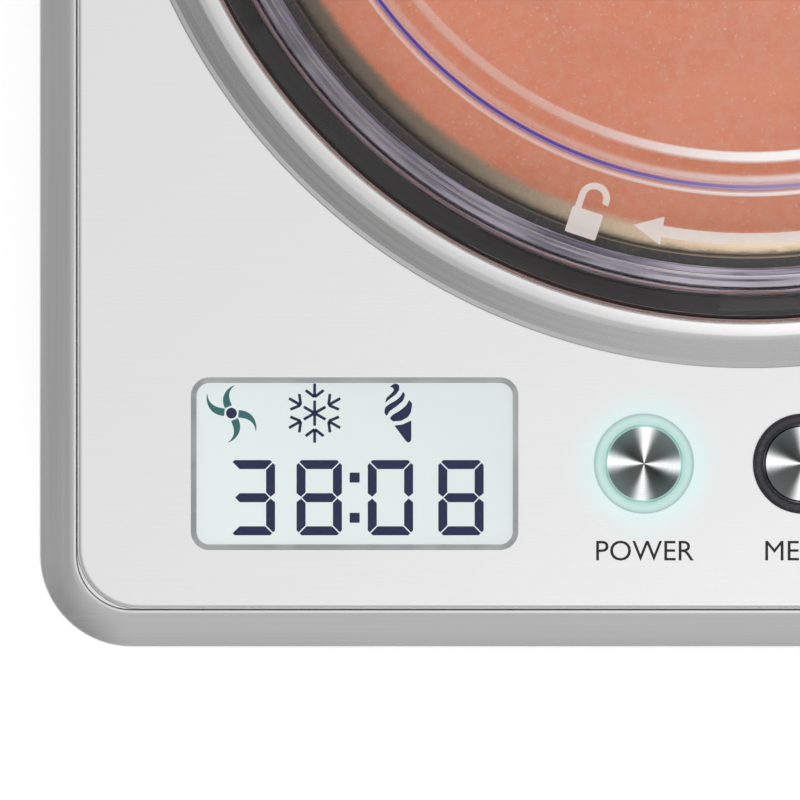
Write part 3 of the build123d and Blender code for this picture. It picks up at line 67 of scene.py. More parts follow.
BOWL_X, BOWL_Y = middle("collar_ring")[:2]
PLATE_TOP = top("top_plate")
COLLAR_RADIUS = (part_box("collar_ring")[1][0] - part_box("collar_ring")[0][0]) / 2
LID_RADIUS = (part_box("lid")[1][0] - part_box("lid")[0][0]) / 2
DISPLAY_X, DISPLAY_Y = middle("display_lens")[:2]
RIM_TOP = top("bowl")
RIM_CENTRE = (BOWL_X, BOWL_Y, RIM_TOP)
BUTTONS = ("power_button", "menu_button", "start_button", "plus_button", "minus_button")


# ---------------------------------------------------------------- sizes and colours a user may change
def swatch(name, description, default):
    return bpy.props.FloatVectorProperty(
        name=name, description=description, subtype="COLOR", default=default, min=0, max=1)


def length(name, description, default):
    return bpy.props.FloatProperty(
        name=name, description=description, subtype="DISTANCE", default=default, unit="LENGTH")


class MakerColours(bpy.types.PropertyGroup):
    """Colours of the finishes."""

    steel: swatch("Steel", "Stainless steel of the plate and the housing", (0.76, 0.755, 0.755))
    mix: swatch("Frozen mix", "Fruit ice in the bowl", (0.84, 0.265, 0.135))
    frost: swatch("Frost", "Thin ice towards the wall of the bowl", (0.95, 0.74, 0.52))
    glow: swatch("Power light", "Light of the ring round the power button", (0.50, 0.78, 0.73))
    backlight: swatch("Display light", "Lit ground of the display", (0.91, 1.0, 0.985))
    ink: swatch("Display ink", "Dark elements of the display", (0.010, 0.014, 0.105))
    fan_ink: swatch("Fan ink", "Blades of the fan sign", (0.03, 0.155, 0.165))


class MakerSizes(bpy.types.PropertyGroup):
    """Sizes of the modelled pieces."""

    bezel_width: length("Bezel width", "From the housing's edge to the top plate", 7.5 * MM)
    bezel_drop: length("Bezel drop", "Height that the slope of the bezel loses", 4.2 * MM)
    body_corner: length("Corner radius", "Radius of the housing's upright corners", 18 * MM)
    around: bpy.props.IntProperty(
        name="Steps round", description="Faces round each turned piece", default=120, min=24, max=360)
    digit_height: length("Digit height", "Height of the display's digits", 14.6 * MM)
    legend_height: length("Legend size", "Type size of the legends under the buttons", 5.55 * MM)
    camera_height: length("Camera height", "Camera above the top plate", 3.5)
    view_width: length("View width", "Width that the camera sees at the top plate", 155.1 * MM)


# ---------------------------------------------------------------- materials
class Value:
    """A socket of a material. Arithmetic on it adds Math nodes."""

    def __init__(self, look, socket):
        self.look = look
        self.socket = socket

    def out(self, name):
        return Value(self.look, self.socket.node.outputs[name])

    def maths(self, operation, first, second=0.0):
        return self.look.add("ShaderNodeMath", {"operation": operation}, {0: first, 1: second})

    def __add__(self, other):
        return self.maths("ADD", self, other)

    def __sub__(self, other):
        return self.maths("SUBTRACT", self, other)

    def __rsub__(self, other):
        return self.maths("SUBTRACT", other, self)

    def __mul__(self, other):
        return self.maths("MULTIPLY", self, other)

    def __truediv__(self, other):
        return self.maths("DIVIDE", self, other)

    def __pow__(self, other):
        return self.maths("POWER", self, other)

    def __abs__(self):
        return self.maths("ABSOLUTE", self)

    __radd__ = __add__
    __rmul__ = __mul__


class Look:
    """A node tree under construction, for a material or the world."""

    def __init__(self, name, owner=None):
        self.owner = owner or bpy.data.materials.new(name)
        self.owner.use_nodes = True
        self.tree = self.owner.node_tree
        self.tree.nodes.clear()

    def add(self, kind, settings, inputs, output=0):
        """Adds a node: its type, its settings, then the values or links of its sockets."""
        node = self.tree.nodes.new(kind)
        for key, value in settings.items():
            if key == "stops":
                fill_ramp(node.color_ramp, value)
            else:
                setattr(node, key, value)
        for key, value in inputs.items():
            if isinstance(value, Value):
                self.tree.links.new(value.socket, node.inputs[key])
            else:
                node.inputs[key].default_value = value
        return Value(self, node.outputs[output])

    def place(self, centre=(0, 0, 0), stretch=(1, 1, 1)):
        """Object coordinates measured from centre, each axis multiplied by stretch."""
        coords = self.add("ShaderNodeTexCoord", {}, {}, "Object")
        shift = [-c * s for c, s in zip(centre, stretch)]
        return self.add("ShaderNodeMapping", {}, {"Vector": coords, "Location": shift, "Scale": stretch})

    def split(self, vector):
        parts = self.add("ShaderNodeSeparateXYZ", {}, {"Vector": vector})
        return parts, parts.out("Y"), parts.out("Z")

    def vector(self, x, y, z):
        return self.add("ShaderNodeCombineXYZ", {}, {0: x, 1: y, 2: z})

    def noise(self, vector, scale=1.0, detail=2.0, rough=0.5):
        return self.add("ShaderNodeTexNoise", {},
                        {"Vector": vector, "Scale": scale, "Detail": detail, "Roughness": rough})

    def grain(self, scale, detail=2.0, rough=0.5):
        """Noise over the object's own coordinates."""
        return self.noise(self.place(), scale, detail, rough)

    def swept(self, x, y, z=0.0, detail=2.0, rough=0.5):
        """Noise over three values of its own, such as radius and angle."""
        return self.noise(self.vector(x, y, z), 1.0, detail, rough)

    def ramp(self, value, *stops):
        return self.add("ShaderNodeValToRGB", {"stops": stops}, {"Fac": value})

    def band(self, value, low, high, reverse=False):
        """0 below low and 1 above high, smooth between. Reversed, 1 below and 0 above."""
        ends = (1.0, 0.0) if reverse else (0.0, 1.0)
        return self.add("ShaderNodeMapRange", {"interpolation_type": "SMOOTHSTEP"},
                        {0: value, 1: low, 2: high, 3: ends[0], 4: ends[1]})

    def between(self, value, low, high, soft):
        """1 from low to high and 0 outside."""
        return self.band(value, low - soft, low + soft) * self.band(value, high - soft, high + soft, True)

    def mix(self, share, first, second):
        return self.add("ShaderNodeMix", {"data_type": "RGBA"},
                        {0: share, 6: colour(first), 7: colour(second)}, 2)

    def plain(self, tint):
        """One colour, as a link."""
        return self.mix(0.0, tint, tint)

    def scaled(self, tint, amount):
        """A colour times a value."""
        return self.add("ShaderNodeVectorMath", {"operation": "SCALE"}, {0: tint, "Scale": amount})

    def bump(self, height, depth):
        return self.add("ShaderNodeBump", {}, {"Height": height, "Distance": depth})

    def polar(self, centre):
        """Radius in metres and angle in radians about an upright axis through centre."""
        x, y, z = self.split(self.place(centre))
        radius = (x * x + y * y) ** 0.5
        angle = x.maths("ARCTAN2", y, x)
        return radius, angle, z

    def facing(self, angle, degrees, power):
        """1 at one angle round an axis, falling to 0 at right angles to it and behind it."""
        turn = angle - math.radians(degrees)
        cosine = turn.maths("COSINE", turn)
        return cosine.maths("MAXIMUM", cosine, 0.0) ** power

    def principled(self, **inputs):
        keys = {key.replace("_", " "): value for key, value in inputs.items()}
        if "Base Color" in keys:
            keys["Base Color"] = colour(keys["Base Color"])
        return self.add("ShaderNodeBsdfPrincipled", {}, keys)

    def surface(self, **inputs):
        return self.finish(self.principled(**inputs))

    def finish(self, shader, kind="ShaderNodeOutputMaterial"):
        node = self.tree.nodes.new(kind)
        self.tree.links.new(shader.socket, node.inputs["Surface"])
        return self.owner


def colour(value):
    """A colour with its alpha, or a link as it is."""
    return value if isinstance(value, Value) else (*tuple(value)[:3], 1.0)


def fill_ramp(ramp, stops):
    while len(ramp.elements) < len(stops):
        ramp.elements.new(0.5)
    for element, (position, tint) in zip(ramp.elements, stops):
        element.position = position
        element.color = (*tint, 1.0) if len(tint) == 3 else (tint[0], tint[0], tint[0], 1.0)


def grained(look, base, tone, grain, roughness, depth=0.004 * MM):
    """Brushed metal: a fine grain that varies colour, gloss and height."""
    tint = look.scaled(look.plain(base), 1.0 + (grain - 0.5) * tone)
    return look.principled(
        Base_Color=tint, Metallic=1.0, Roughness=roughness + (grain - 0.5) * 0.16,
        Normal=look.bump(grain, depth))


def brushed(name, base, stretch, tone=0.10, roughness=0.30):
    """Sheet metal brushed in straight lines. Stretch says how fine the grain is along each axis."""
    look = Look(name)
    fine = look.noise(look.place(stretch=stretch), 1.0, 3.0, 0.6)
    broad = look.grain(9.0, 1.0)
    return look.finish(grained(look, base, tone, fine * 0.8 + broad * 0.2, roughness))


def plate_finish(maker):
    """Top plate: brushed across, with the soft light of the power ring round its button."""
    look = Look("plate_steel_brushed")
    fine = look.noise(look.place(stretch=(45, 5200, 45)), 1.0, 3.0, 0.65)
    hair = look.noise(look.place((0.3, 0.2, 0.1), (14, 2300, 14)), 1.0, 2.0, 0.5)
    grain = fine * 0.6 + hair * 0.4
    radius, _, _ = look.polar(middle("power_button"))
    halo = look.band(radius, 9.0 * MM, 17.5 * MM, True) ** 1.5
    steel = look.plain(maker.steel)
    steel = look.scaled(steel, 1.0 + (grain - 0.5) * 0.13)
    tint = look.mix(halo * 0.62, steel, (0.62, 0.85, 0.81))
    return look.surface(
        Base_Color=tint, Metallic=1.0, Roughness=0.30 + (grain - 0.5) * 0.18,
        Normal=look.bump(grain, 0.004 * MM), Emission_Color=look.mix(halo, (0, 0, 0), maker.glow),
        Emission_Strength=0.03)


def frame_finish(maker):
    """Rolled frame: brushed along each side of the housing."""
    look = Look("frame_steel_brushed")
    lengthwise = look.noise(look.place(stretch=(2600, 18, 400)), 1.0, 3.0, 0.6)
    crosswise = look.noise(look.place(stretch=(18, 2600, 400)), 1.0, 3.0, 0.6)
    low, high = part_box("top_frame")
    half_x, half_y = (high[0] - low[0]) / 2, (high[1] - low[1]) / 2
    x, y, _ = look.split(look.place())
    sideways = look.band(abs(x) - half_x - (abs(y) - half_y), -1.5 * MM, 1.5 * MM)
    grain = lengthwise * sideways + crosswise * (1.0 - sideways)
    return look.finish(grained(look, maker.steel, 0.13, grain, 0.31))


def spun(name, base, centre, roughness=0.27, tone=0.16, fineness=1500.0):
    """Metal turned on a lathe: the grain runs round the axis through centre."""
    look = Look(name)
    radius, angle, z = look.polar(centre)
    grain = look.swept(radius * fineness, abs(angle) * 1.3, z * fineness * 0.4, 3.0, 0.6)
    return look.finish(grained(look, base, tone, grain, roughness, 0.006 * MM))


def button_finish(maker, node):
    """Spun cap: four spokes of highlight are painted into its colour where the grain would catch the light,
    dark between them.
    """
    look = Look(node + "_spun_steel")
    x, y, _ = middle(node)
    radius, angle, _ = look.polar((x, y, 0))
    # Painted highlight: four bright spokes where the spun grain would catch the light, over a dark painted
    # reflection, with a slight painted shade that varies round the cap.
    wobble = look.swept(radius * 260.0, angle * 1.5)
    turn = (angle - math.radians(86.0)) * 2.0 + (wobble - 0.5) * 0.22
    spoke_highlights = abs(turn.maths("COSINE", turn)) ** 9.0
    side = angle + 0.7
    shade = abs(side.maths("SINE", side)) * 0.06 + 0.02
    rings = look.swept(radius * 5200.0, angle * 0.8)
    lit = 1.0 if node == "power_button" else 0.0
    # Painted light: towards the edge the dark part lightens, and on the power button the cap turns teal with
    # the power ring's light.
    edge = look.band(radius, 2.5 * MM, 7.4 * MM)
    dark = look.mix(edge * (0.75 if lit else 0.25), (0.012, 0.013, 0.013), (0.075, 0.115, 0.11))
    bright = look.mix(edge * 0.4 * lit, (0.96, 0.97, 0.97), (0.76, 0.90, 0.88))
    tint = look.mix(spoke_highlights + shade, dark, bright)
    # The edge ring is painted teal on the power button, the power ring's light; on the others it is a lighter
    # grey.
    rim = look.between(radius, 7.12 * MM, 7.6 * MM, 0.05 * MM)
    tint = look.mix(rim * (0.85 if lit else 0.35), tint, (0.70, 0.88, 0.85) if lit else (0.5, 0.5, 0.5))
    return look.surface(
        Base_Color=look.scaled(tint, 1.0 + (rings - 0.5) * 0.25), Metallic=1.0, Roughness=0.26,
        Normal=look.bump(rings, 0.003 * MM))


def moulded(name, base, roughness=0.45, grain=0.012 * MM, metallic=0.0, fleck=0.18, scale=900.0, coat=0.0):
    """Moulded plastic, rubber, cast or painted metal: fine texture and slight uneven colour."""
    look = Look(name)
    fine = look.grain(scale, 4.0, 0.6)
    broad = look.grain(22.0, 2.0)
    tint = look.scaled(look.plain(base), 1.0 + (fine - 0.5) * fleck + (broad - 0.5) * 0.12)
    return look.surface(
        Base_Color=tint, Metallic=metallic, Roughness=roughness + (broad - 0.5) * 0.10,
        Coat_Weight=coat, Normal=look.bump(fine, grain))


def light_ring_finish(maker):
    """Milky light guide round the power button, lit from below."""
    look = Look("light_guide_lit")
    x, y, _ = middle("power_light_ring")
    radius, angle, _ = look.polar((x, y, 0))
    cloud = look.swept(radius * 240.0, angle * 1.1)
    lines = look.between(radius, 9.35 * MM, 9.75 * MM, 0.08 * MM)
    tint = look.mix(cloud, maker.glow, (0.66, 0.86, 0.82))
    tint = look.mix(lines * 0.55, tint, (0.42, 0.50, 0.52))
    return look.surface(
        Base_Color=look.scaled(tint, 0.55), Roughness=0.28, Emission_Color=tint, Emission_Strength=0.55,
        Normal=look.bump(cloud, 0.01 * MM))


def display_finish(maker):
    """Lit display glass, a little uneven towards its edges."""
    look = Look("display_glass_lit")
    cloud = look.grain(30.0, 2.0)
    x, y, _ = look.split(look.place((DISPLAY_X, DISPLAY_Y, 0), (31, 60, 1)))
    fade = look.band(x * 0.5 + y * 0.5 + cloud * 0.4, -0.6, 1.2)
    tint = look.mix(fade, maker.backlight, look.scaled(look.plain(maker.backlight), 0.93))
    return look.surface(
        Base_Color=look.scaled(tint, 0.35), Roughness=0.35, Emission_Color=tint, Emission_Strength=0.72)


def lens_finish(maker):
    """Thin clear window."""
    look = Look("lens_clear_window")
    haze = look.grain(60.0, 2.0)
    return look.surface(
        Base_Color=(0.10, 0.13, 0.13), Roughness=0.06 + haze * 0.03, Alpha=0.06, Specular_IOR_Level=0.5)


def rim_speckle(look, radius, angle, z):
    """Frost and moisture specks, finer round the rim."""
    return look.swept(radius * 1500.0, angle * 120.0, z * 900.0, 2.0, 0.7)


def bowl_finish(maker):
    """Hard-anodised bowl: dark grey metal wall; the top of its rim is painted near-black as the shade under
    the lid, with pale frost specks.
    """
    look = Look("bowl_anodised")
    radius, angle, z = look.polar(RIM_CENTRE)
    specks = rim_speckle(look, radius, angle, z)
    # Painted shade: the top of the rim is near-black, with pale frost specks on it.
    tint = look.mix(look.band(specks, 0.52, 0.80), (0.020, 0.016, 0.012), (0.17, 0.145, 0.115))
    wall = look.mix(specks, (0.22, 0.22, 0.22), (0.32, 0.32, 0.32))
    tint = look.mix(look.band(z, -2.0 * MM, -1.0 * MM), wall, tint)
    return look.surface(
        Base_Color=tint, Metallic=look.band(z, -2.0 * MM, -1.0 * MM, True) * 0.9, Roughness=0.42,
        Normal=look.bump(specks, 0.02 * MM))


def well_finish(maker):
    """Spun aluminium well, its flange under the lock painted black."""
    look = Look("well_aluminium_spun")
    radius, angle, z = look.polar(RIM_CENTRE)
    grain = look.swept(radius * 700.0, abs(angle) * 1.3, z * 300.0, 3.0, 0.6)
    metal = look.scaled((0.70, 0.71, 0.72), 1.0 + (grain - 0.5) * 0.18)
    painted = look.band(z, -2.4 * MM, -1.6 * MM)
    return look.surface(
        Base_Color=look.mix(painted, metal, (0.018, 0.016, 0.018)), Metallic=1.0 - painted,
        Roughness=0.34 + grain * 0.1, Normal=look.bump(grain, 0.006 * MM))


def lock_ring_finish(maker):
    """Black ring of the lock: satin, with fine pale flecks."""
    look = Look("ring_black_satin")
    radius, angle, z = look.polar(RIM_CENTRE)
    specks = rim_speckle(look, radius, angle, z)
    streak = look.swept(radius * 420.0, angle * 5.0)
    tint = look.mix(look.band(specks, 0.50, 0.85), (0.026, 0.024, 0.028), (0.11, 0.105, 0.115))
    tint = look.mix(streak * 0.25, tint, (0.05, 0.045, 0.055))
    return look.surface(
        Base_Color=tint, Roughness=0.42, Normal=look.bump(specks, 0.015 * MM))


def seal_finish(maker):
    """Silicone seal seen through the skirt of the lid: lavender grey in fine streaks, painted brighter
    towards the front and given a faint painted glow.
    """
    look = Look("seal_silicone_lavender")
    radius, angle, _ = look.polar(RIM_CENTRE)
    streak = look.swept(radius * 1700.0, angle * 4.0, 0.0, 3.0, 0.6)
    tint = look.mix(look.band(streak, 0.34, 0.66), (0.14, 0.125, 0.20), (0.80, 0.73, 0.88))
    # Painted light: the seal is brighter towards the front.
    tint = look.scaled(tint, 0.55 + look.facing(angle, -88.0, 8.0) * 0.45)
    # Painted light: the emission makes the seal glow a little.
    return look.surface(
        Base_Color=tint, Roughness=0.35, Emission_Color=tint, Emission_Strength=0.20,
        Normal=look.bump(streak, 0.03 * MM))


def lid_finish(maker):
    """Clear plastic, with painted highlights: white and violet rings on the bends of the raised step and at
    the skirt's edge, brighter towards the front.
    """
    look = Look("clear_plastic_lid")
    radius, angle, z = look.polar(RIM_CENTRE)
    haze = look.swept(radius * 300.0, angle * 5.0)
    clear = look.principled(
        Base_Color=(0.985, 0.985, 0.99), Roughness=0.015, IOR=1.25, Transmission_Weight=1.0)
    # Painted highlights: the rings are brighter towards the front, and a violet ring on the slope is a
    # painted reflection.
    front = look.facing(angle, -80.0, 14.0)
    violet = look.between(radius, 88.9 * MM, 89.8 * MM, 0.25 * MM)
    tint = look.mix(
        violet, (0.96, 0.92, 0.91), look.mix(front, (0.075, 0.02, 0.30), (0.36, 0.26, 0.50)))
    # A glowing shader that paints the highlights.
    highlight_shader = look.principled(
        Base_Color=tint, Roughness=0.30, Emission_Color=tint, Emission_Strength=0.30)
    # Where the painted highlights lie: rings on the step, its slope and the skirt's edge.
    painted_highlights = look.between(radius, 82.7 * MM, 84.4 * MM, 0.30 * MM) * (0.12 + front * 0.88)
    painted_highlights = painted_highlights + look.between(radius, 90.4 * MM, 91.0 * MM, 0.25 * MM) * (0.28 + front * 0.5)
    painted_highlights = painted_highlights + look.between(radius, 87.2 * MM, 88.5 * MM, 0.5 * MM) * (0.05 + front * 0.35 + haze * 0.10)
    painted_highlights = painted_highlights + violet * 0.90
    painted_highlights = painted_highlights * look.band(z, 14 * MM, 16 * MM)
    painted_highlights = painted_highlights + look.between(radius, 106.5 * MM, 106.8 * MM, 0.10 * MM) * (0.10 + front * 0.4)
    return look.finish(look.add("ShaderNodeMixShader", {}, {0: painted_highlights, 1: clear, 2: highlight_shader}))


def clear_finish(name, tint=(0.98, 0.98, 0.985)):
    look = Look(name)
    haze = look.grain(40.0, 2.0)
    return look.surface(
        Base_Color=tint, Roughness=0.015 + haze * 0.02, IOR=1.3, Transmission_Weight=1.0)


def mix_finish(maker):
    """Fruit ice: granular, with frost crystals and a pale frost ring, thinner towards the wall where it is
    painted dark as shade; the frost is painted darker away from the front, and the mix glows a little as
    painted light.
    """
    look = Look("frozen_mix_ice")
    radius, angle, _ = look.polar(RIM_CENTRE)
    crystal = look.grain(1500.0, 3.0, 0.7)
    grain = look.grain(420.0, 4.0, 0.65)
    swirl = look.swept(radius * 70.0, angle * 1.6, 0.0, 3.0, 0.6)
    pulp = look.mix(swirl, look.scaled(look.plain(maker.mix), 0.86),
                    look.scaled(look.plain(maker.mix), 1.16))
    pulp = look.mix(look.band(grain, 0.30, 0.75) * 0.30, pulp, (0.78, 0.42, 0.30))
    pulp = look.mix(look.band(crystal, 0.58, 0.74) * 0.50, pulp, (0.95, 0.80, 0.72))
    uneven = radius + (grain - 0.5) * 1.5 * MM
    frost = look.scaled(look.plain(maker.frost), 0.80 + crystal * 0.5)
    # Painted shade: near-black with pale specks towards the wall.
    dark = look.mix(look.band(crystal, 0.45, 0.85), (0.022, 0.017, 0.011), (0.20, 0.17, 0.12))
    # Painted shade: the frost is darker away from the front.
    frost = look.scaled(frost, 0.22 + look.facing(angle, -84.0, 7.0) * 0.70)
    rim = look.band(uneven, 97.6 * MM, 100.2 * MM)
    tint = look.mix(rim, pulp, frost)
    tint = look.mix(look.band(uneven, 101.4 * MM, 103.6 * MM), tint, dark)
    # Painted light: the whole mix glows, more in the frost ring towards the front.
    glow = look.scaled(tint, 0.27 + rim * look.facing(angle, -86.0, 9.0) * 0.45)
    return look.surface(
        Base_Color=tint, Roughness=0.50, Coat_Weight=0.15,
        Emission_Color=glow, Emission_Strength=1.0,
        Normal=look.bump(grain * 0.7 + crystal * 0.3, 0.16 * MM))


def marking_finish(name, tint, strength=0.0, alpha=1.0, roughness=0.5):
    """Printed ink, with the slight unevenness of a screen print."""
    look = Look(name)
    uneven = look.grain(700.0, 3.0)
    tint = look.scaled(look.plain(tint), 0.94 + uneven * 0.12)
    return look.surface(
        Base_Color=tint, Roughness=roughness, Alpha=alpha, Emission_Color=tint, Emission_Strength=strength,
        Normal=look.bump(uneven, 0.002 * MM))


def foam_finish(maker):
    look = Look("foam_sprayed")
    cells = look.grain(650.0, 5.0, 0.75)
    tint = look.mix(cells, (0.55, 0.43, 0.22), (0.86, 0.76, 0.52))
    return look.surface(Base_Color=tint, Roughness=0.9, Normal=look.bump(cells, 0.5 * MM))


def copper_finish(maker):
    look = Look("copper_drawn")
    stain = look.grain(70.0, 4.0, 0.65)
    tint = look.mix(look.band(stain, 0.3, 0.8), (0.80, 0.36, 0.20), (0.50, 0.20, 0.12))
    return look.surface(
        Base_Color=tint, Metallic=1.0, Roughness=0.24 + stain * 0.2, Normal=look.bump(stain, 0.02 * MM))


def board_finish(maker):
    look = Look("board_green_mask")
    x, _, _ = look.split(look.place(stretch=(420, 420, 420)))
    tracks = abs(x.maths("FRACT", x) - 0.5) * 2.0
    lanes = look.grain(60.0, 2.0)
    tint = look.mix(look.band(tracks * lanes, 0.30, 0.42), (0.012, 0.12, 0.045), (0.03, 0.22, 0.09))
    return look.surface(Base_Color=tint, Roughness=0.35, Coat_Weight=0.3)


MOULDED = {
    # slot: name, colour, roughness, depth of the texture, metallic, fleck, scale of the texture, coat
    "zinc_steel": ("zinc_steel_plated", (0.62, 0.64, 0.66), 0.38, 0.01 * MM, 1.0, 0.25, 260.0),
    "screw_steel": ("screw_steel_plated", (0.66, 0.66, 0.68), 0.30, 0.006 * MM, 1.0, 0.2, 700.0),
    "black_shell": ("shell_black_enamel", (0.013, 0.013, 0.014), 0.24, 0.02 * MM, 0.0, 0.2, 160.0, 0.5),
    "black_plastic": ("plastic_black_textured", (0.020, 0.020, 0.021), 0.48, 0.03 * MM, 0.0, 0.25, 1100.0),
    "rubber_black": ("rubber_black_soft", (0.016, 0.016, 0.016), 0.75, 0.02 * MM, 0.0, 0.35, 700.0),
    "paddle_plastic": ("paddle_plastic_white", (0.72, 0.74, 0.74), 0.36, 0.006 * MM, 0.0, 0.06, 900.0, 0.1),
    "parts_dark": ("parts_dark_moulded", (0.028, 0.030, 0.040), 0.40, 0.01 * MM, 0.0, 0.5, 420.0),
    "tub_grey": ("tub_grey_moulded", (0.30, 0.31, 0.32), 0.50, 0.02 * MM),
    "gear_nylon": ("gear_nylon_natural", (0.66, 0.62, 0.52), 0.42, 0.008 * MM, 0.0, 0.10),
    "gear_case": ("gear_case_cast", (0.42, 0.43, 0.44), 0.46, 0.05 * MM, 0.9, 0.25, 520.0),
    "pump_iron": ("pump_iron_cast", (0.15, 0.15, 0.16), 0.55, 0.10 * MM, 0.8, 0.4, 380.0),
    "pin_brass": ("pin_brass_plated", (0.72, 0.53, 0.24), 0.24, 0.004 * MM, 1.0, 0.12, 500.0),
}


def finishes(maker):
    """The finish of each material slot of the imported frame."""
    steel = maker.steel
    axis = (BOWL_X, BOWL_Y, 0)
    return {
        "plate_steel": plate_finish(maker),
        "frame_steel": frame_finish(maker),
        "wrap_steel": brushed("wrap_steel_brushed", steel, (16, 16, 2600), 0.16, 0.32),
        "collar_steel": spun("collar_steel_spun", steel, axis),
        "wire_steel": brushed("wire_steel_drawn", steel, (900, 900, 900), 0.10, 0.22),
        "steel_shaft": brushed("shaft_steel_ground", (0.70, 0.71, 0.73), (60, 60, 3200), 0.12, 0.22),
        "ring_black": lock_ring_finish(maker),
        "light_guide": light_ring_finish(maker),
        "seal_silicone": seal_finish(maker),
        "bowl_aluminium": bowl_finish(maker),
        "well_aluminium": well_finish(maker),
        "fin_aluminium": brushed("fin_aluminium_rolled", (0.74, 0.75, 0.76), (30, 1400, 1400), 0.12, 0.30),
        "clear_plastic": clear_finish("clear_plastic_cap"),
        "lens_clear": lens_finish(maker),
        "display_glass": display_finish(maker),
        "board_green": board_finish(maker),
        "foam": foam_finish(maker),
        "copper": copper_finish(maker),
        "bronze": spun("bronze_sintered", (0.54, 0.33, 0.14), axis, 0.36, 0.25, 900.0),
        **{slot: moulded(*settings) for slot, settings in MOULDED.items()},
    }


# ---------------------------------------------------------------- modelling
def deselect():
    if bpy.context.mode != "OBJECT":
        switch("OBJECT")
    bpy.ops.object.select_all(action="DESELECT")


def switch(mode):
    bpy.ops.object.mode_set(mode=mode)


def everything():
    bpy.ops.mesh.select_all(action="SELECT")


def merge(distance=1e-6):
    everything()
    bpy.ops.mesh.remove_doubles(threshold=distance)


def raised_by(height):
    """Extrudes the selected faces upwards."""
    bpy.ops.mesh.extrude_region_move(TRANSFORM_OT_translate={"value": (0, 0, height)})


def begin(name, kind, **place):
    """Adds a primitive, alone selected, and opens it in edit mode."""
    deselect()
    getattr(bpy.ops.mesh, "primitive_" + kind + "_add")(**place)
    piece = bpy.context.object
    piece.name = name
    piece.data.name = name
    switch("EDIT")
    bpy.ops.mesh.select_mode(type="VERT")
    everything()
    return piece


def close(piece, angle=35.0):
    """Leaves edit mode with merged, outward faces, smooth below angle, and the object at the origin."""
    merge()
    bpy.ops.mesh.normals_make_consistent(inside=False)
    switch("OBJECT")
    bpy.ops.object.transform_apply(location=True, rotation=True, scale=True)
    bpy.ops.object.shade_smooth_by_angle(angle=math.radians(angle))
    return piece


def walk(outline):
    """Draws an outline in edit mode, from the one vertex that is selected, through the given points."""
    for before, after in zip(outline, outline[1:]):
        step = [b - a for a, b in zip(before, after)]
        bpy.ops.mesh.extrude_vertices_move(TRANSFORM_OT_translate={"value": step})


def pick(piece, kind, test):
    """Selects the faces or edges whose middle passes the test, in world metres."""
    bpy.ops.mesh.select_all(action="DESELECT")
    switch("OBJECT")
    place = piece.location
    points = piece.data.vertices
    found = 0
    for part in getattr(piece.data, kind):
        mid = sum((points[i].co for i in part.vertices), points[0].co * 0) / len(part.vertices)
        chosen = test(place + mid, part)
        part.select = bool(chosen)
        found += part.select
    switch("EDIT")
    mode = "FACE" if kind == "polygons" else "EDGE"
    bpy.ops.mesh.select_mode(type=mode)
    if not found:
        raise RuntimeError(piece.name + ": nothing to select")


def turned(name, outline, rounding=0.0, segments=3, around=120, angle=35.0, finish=True):
    """Spins a closed outline of (radius, height) pairs, in metres, round the bowl's axis."""
    points = [(BOWL_X + r, BOWL_Y, z) for r, z in outline]
    piece = begin(name, "plane", size=0.001, location=points[0])
    bpy.ops.mesh.merge(type="CENTER")
    walk(points + points[:1])
    merge()
    if rounding:
        bpy.ops.mesh.bevel(offset=rounding, segments=segments, affect="VERTICES")
        everything()
    bpy.ops.mesh.spin(steps=around, angle=2 * math.pi, center=(BOWL_X, BOWL_Y, 0), axis=(0, 0, 1))
    merge()
    bpy.ops.mesh.normals_make_consistent(inside=False)
    return close(piece, angle) if finish else piece


def flat(outline, height, thickness, corner=0.0):
    """A thin plate of one outline of (x, y) pairs, in metres, standing on height."""
    points = [(x, y, height) for x, y in outline]
    piece = begin("figure", "plane", size=0.0002, location=points[0])
    bpy.ops.mesh.merge(type="CENTER")
    walk(points + points[:1])
    merge(1e-7)
    if corner:
        bpy.ops.mesh.bevel(offset=corner, segments=4, affect="VERTICES")
        everything()
    bpy.ops.mesh.edge_face_add()
    raised_by(thickness)
    everything()
    bpy.ops.mesh.normals_make_consistent(inside=False)
    switch("OBJECT")
    bpy.ops.object.transform_apply(location=True, rotation=True, scale=True)
    return piece


def joined(name, pieces):
    """Joins pieces into the first one."""
    deselect()
    for piece in pieces:
        piece.select_set(True)
    bpy.context.view_layer.objects.active = pieces[0]
    if len(pieces) > 1:
        bpy.ops.object.join()
    pieces[0].name = name
    pieces[0].data.name = name
    return pieces[0]


def wear(piece, material, body, nodes=()):
    """Gives a piece its material, the body it rides on and the nodes that it stands for."""
    piece.data.materials.clear()
    piece.data.materials.append(material)
    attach(piece, body)
    if nodes:
        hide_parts(*nodes)
    return piece


def modified(piece, kind, **settings):
    """Adds a modifier and applies it."""
    deselect()
    piece.select_set(True)
    bpy.context.view_layer.objects.active = piece
    modifier = piece.modifiers.new(kind.title(), kind)
    for key, value in settings.items():
        setattr(modifier, key, value)
    bpy.ops.object.modifier_apply(modifier=modifier.name)
    return piece


def in_mm(outline, x=0.0, y=0.0, turn=0.0):
    """An outline in millimetres, turned by degrees and moved to x, y in metres."""
    c, s = math.cos(math.radians(turn)), math.sin(math.radians(turn))
    return [(x + (a * c - b * s) * MM, y + (a * s + b * c) * MM) for a, b in outline]


def stroke(start, end, width):
    """The outline of a straight stroke between two points."""
    length = math.dist(start, end)
    nx, ny = (start[1] - end[1]) / length * width / 2, (end[0] - start[0]) / length * width / 2
    return [(start[0] + nx, start[1] + ny), (end[0] + nx, end[1] + ny),
            (end[0] - nx, end[1] - ny), (start[0] - nx, start[1] - ny)]


def at(radius, angle):
    """The point at a radius and an angle, in radians, from the origin."""
    return radius * math.cos(angle), radius * math.sin(angle)


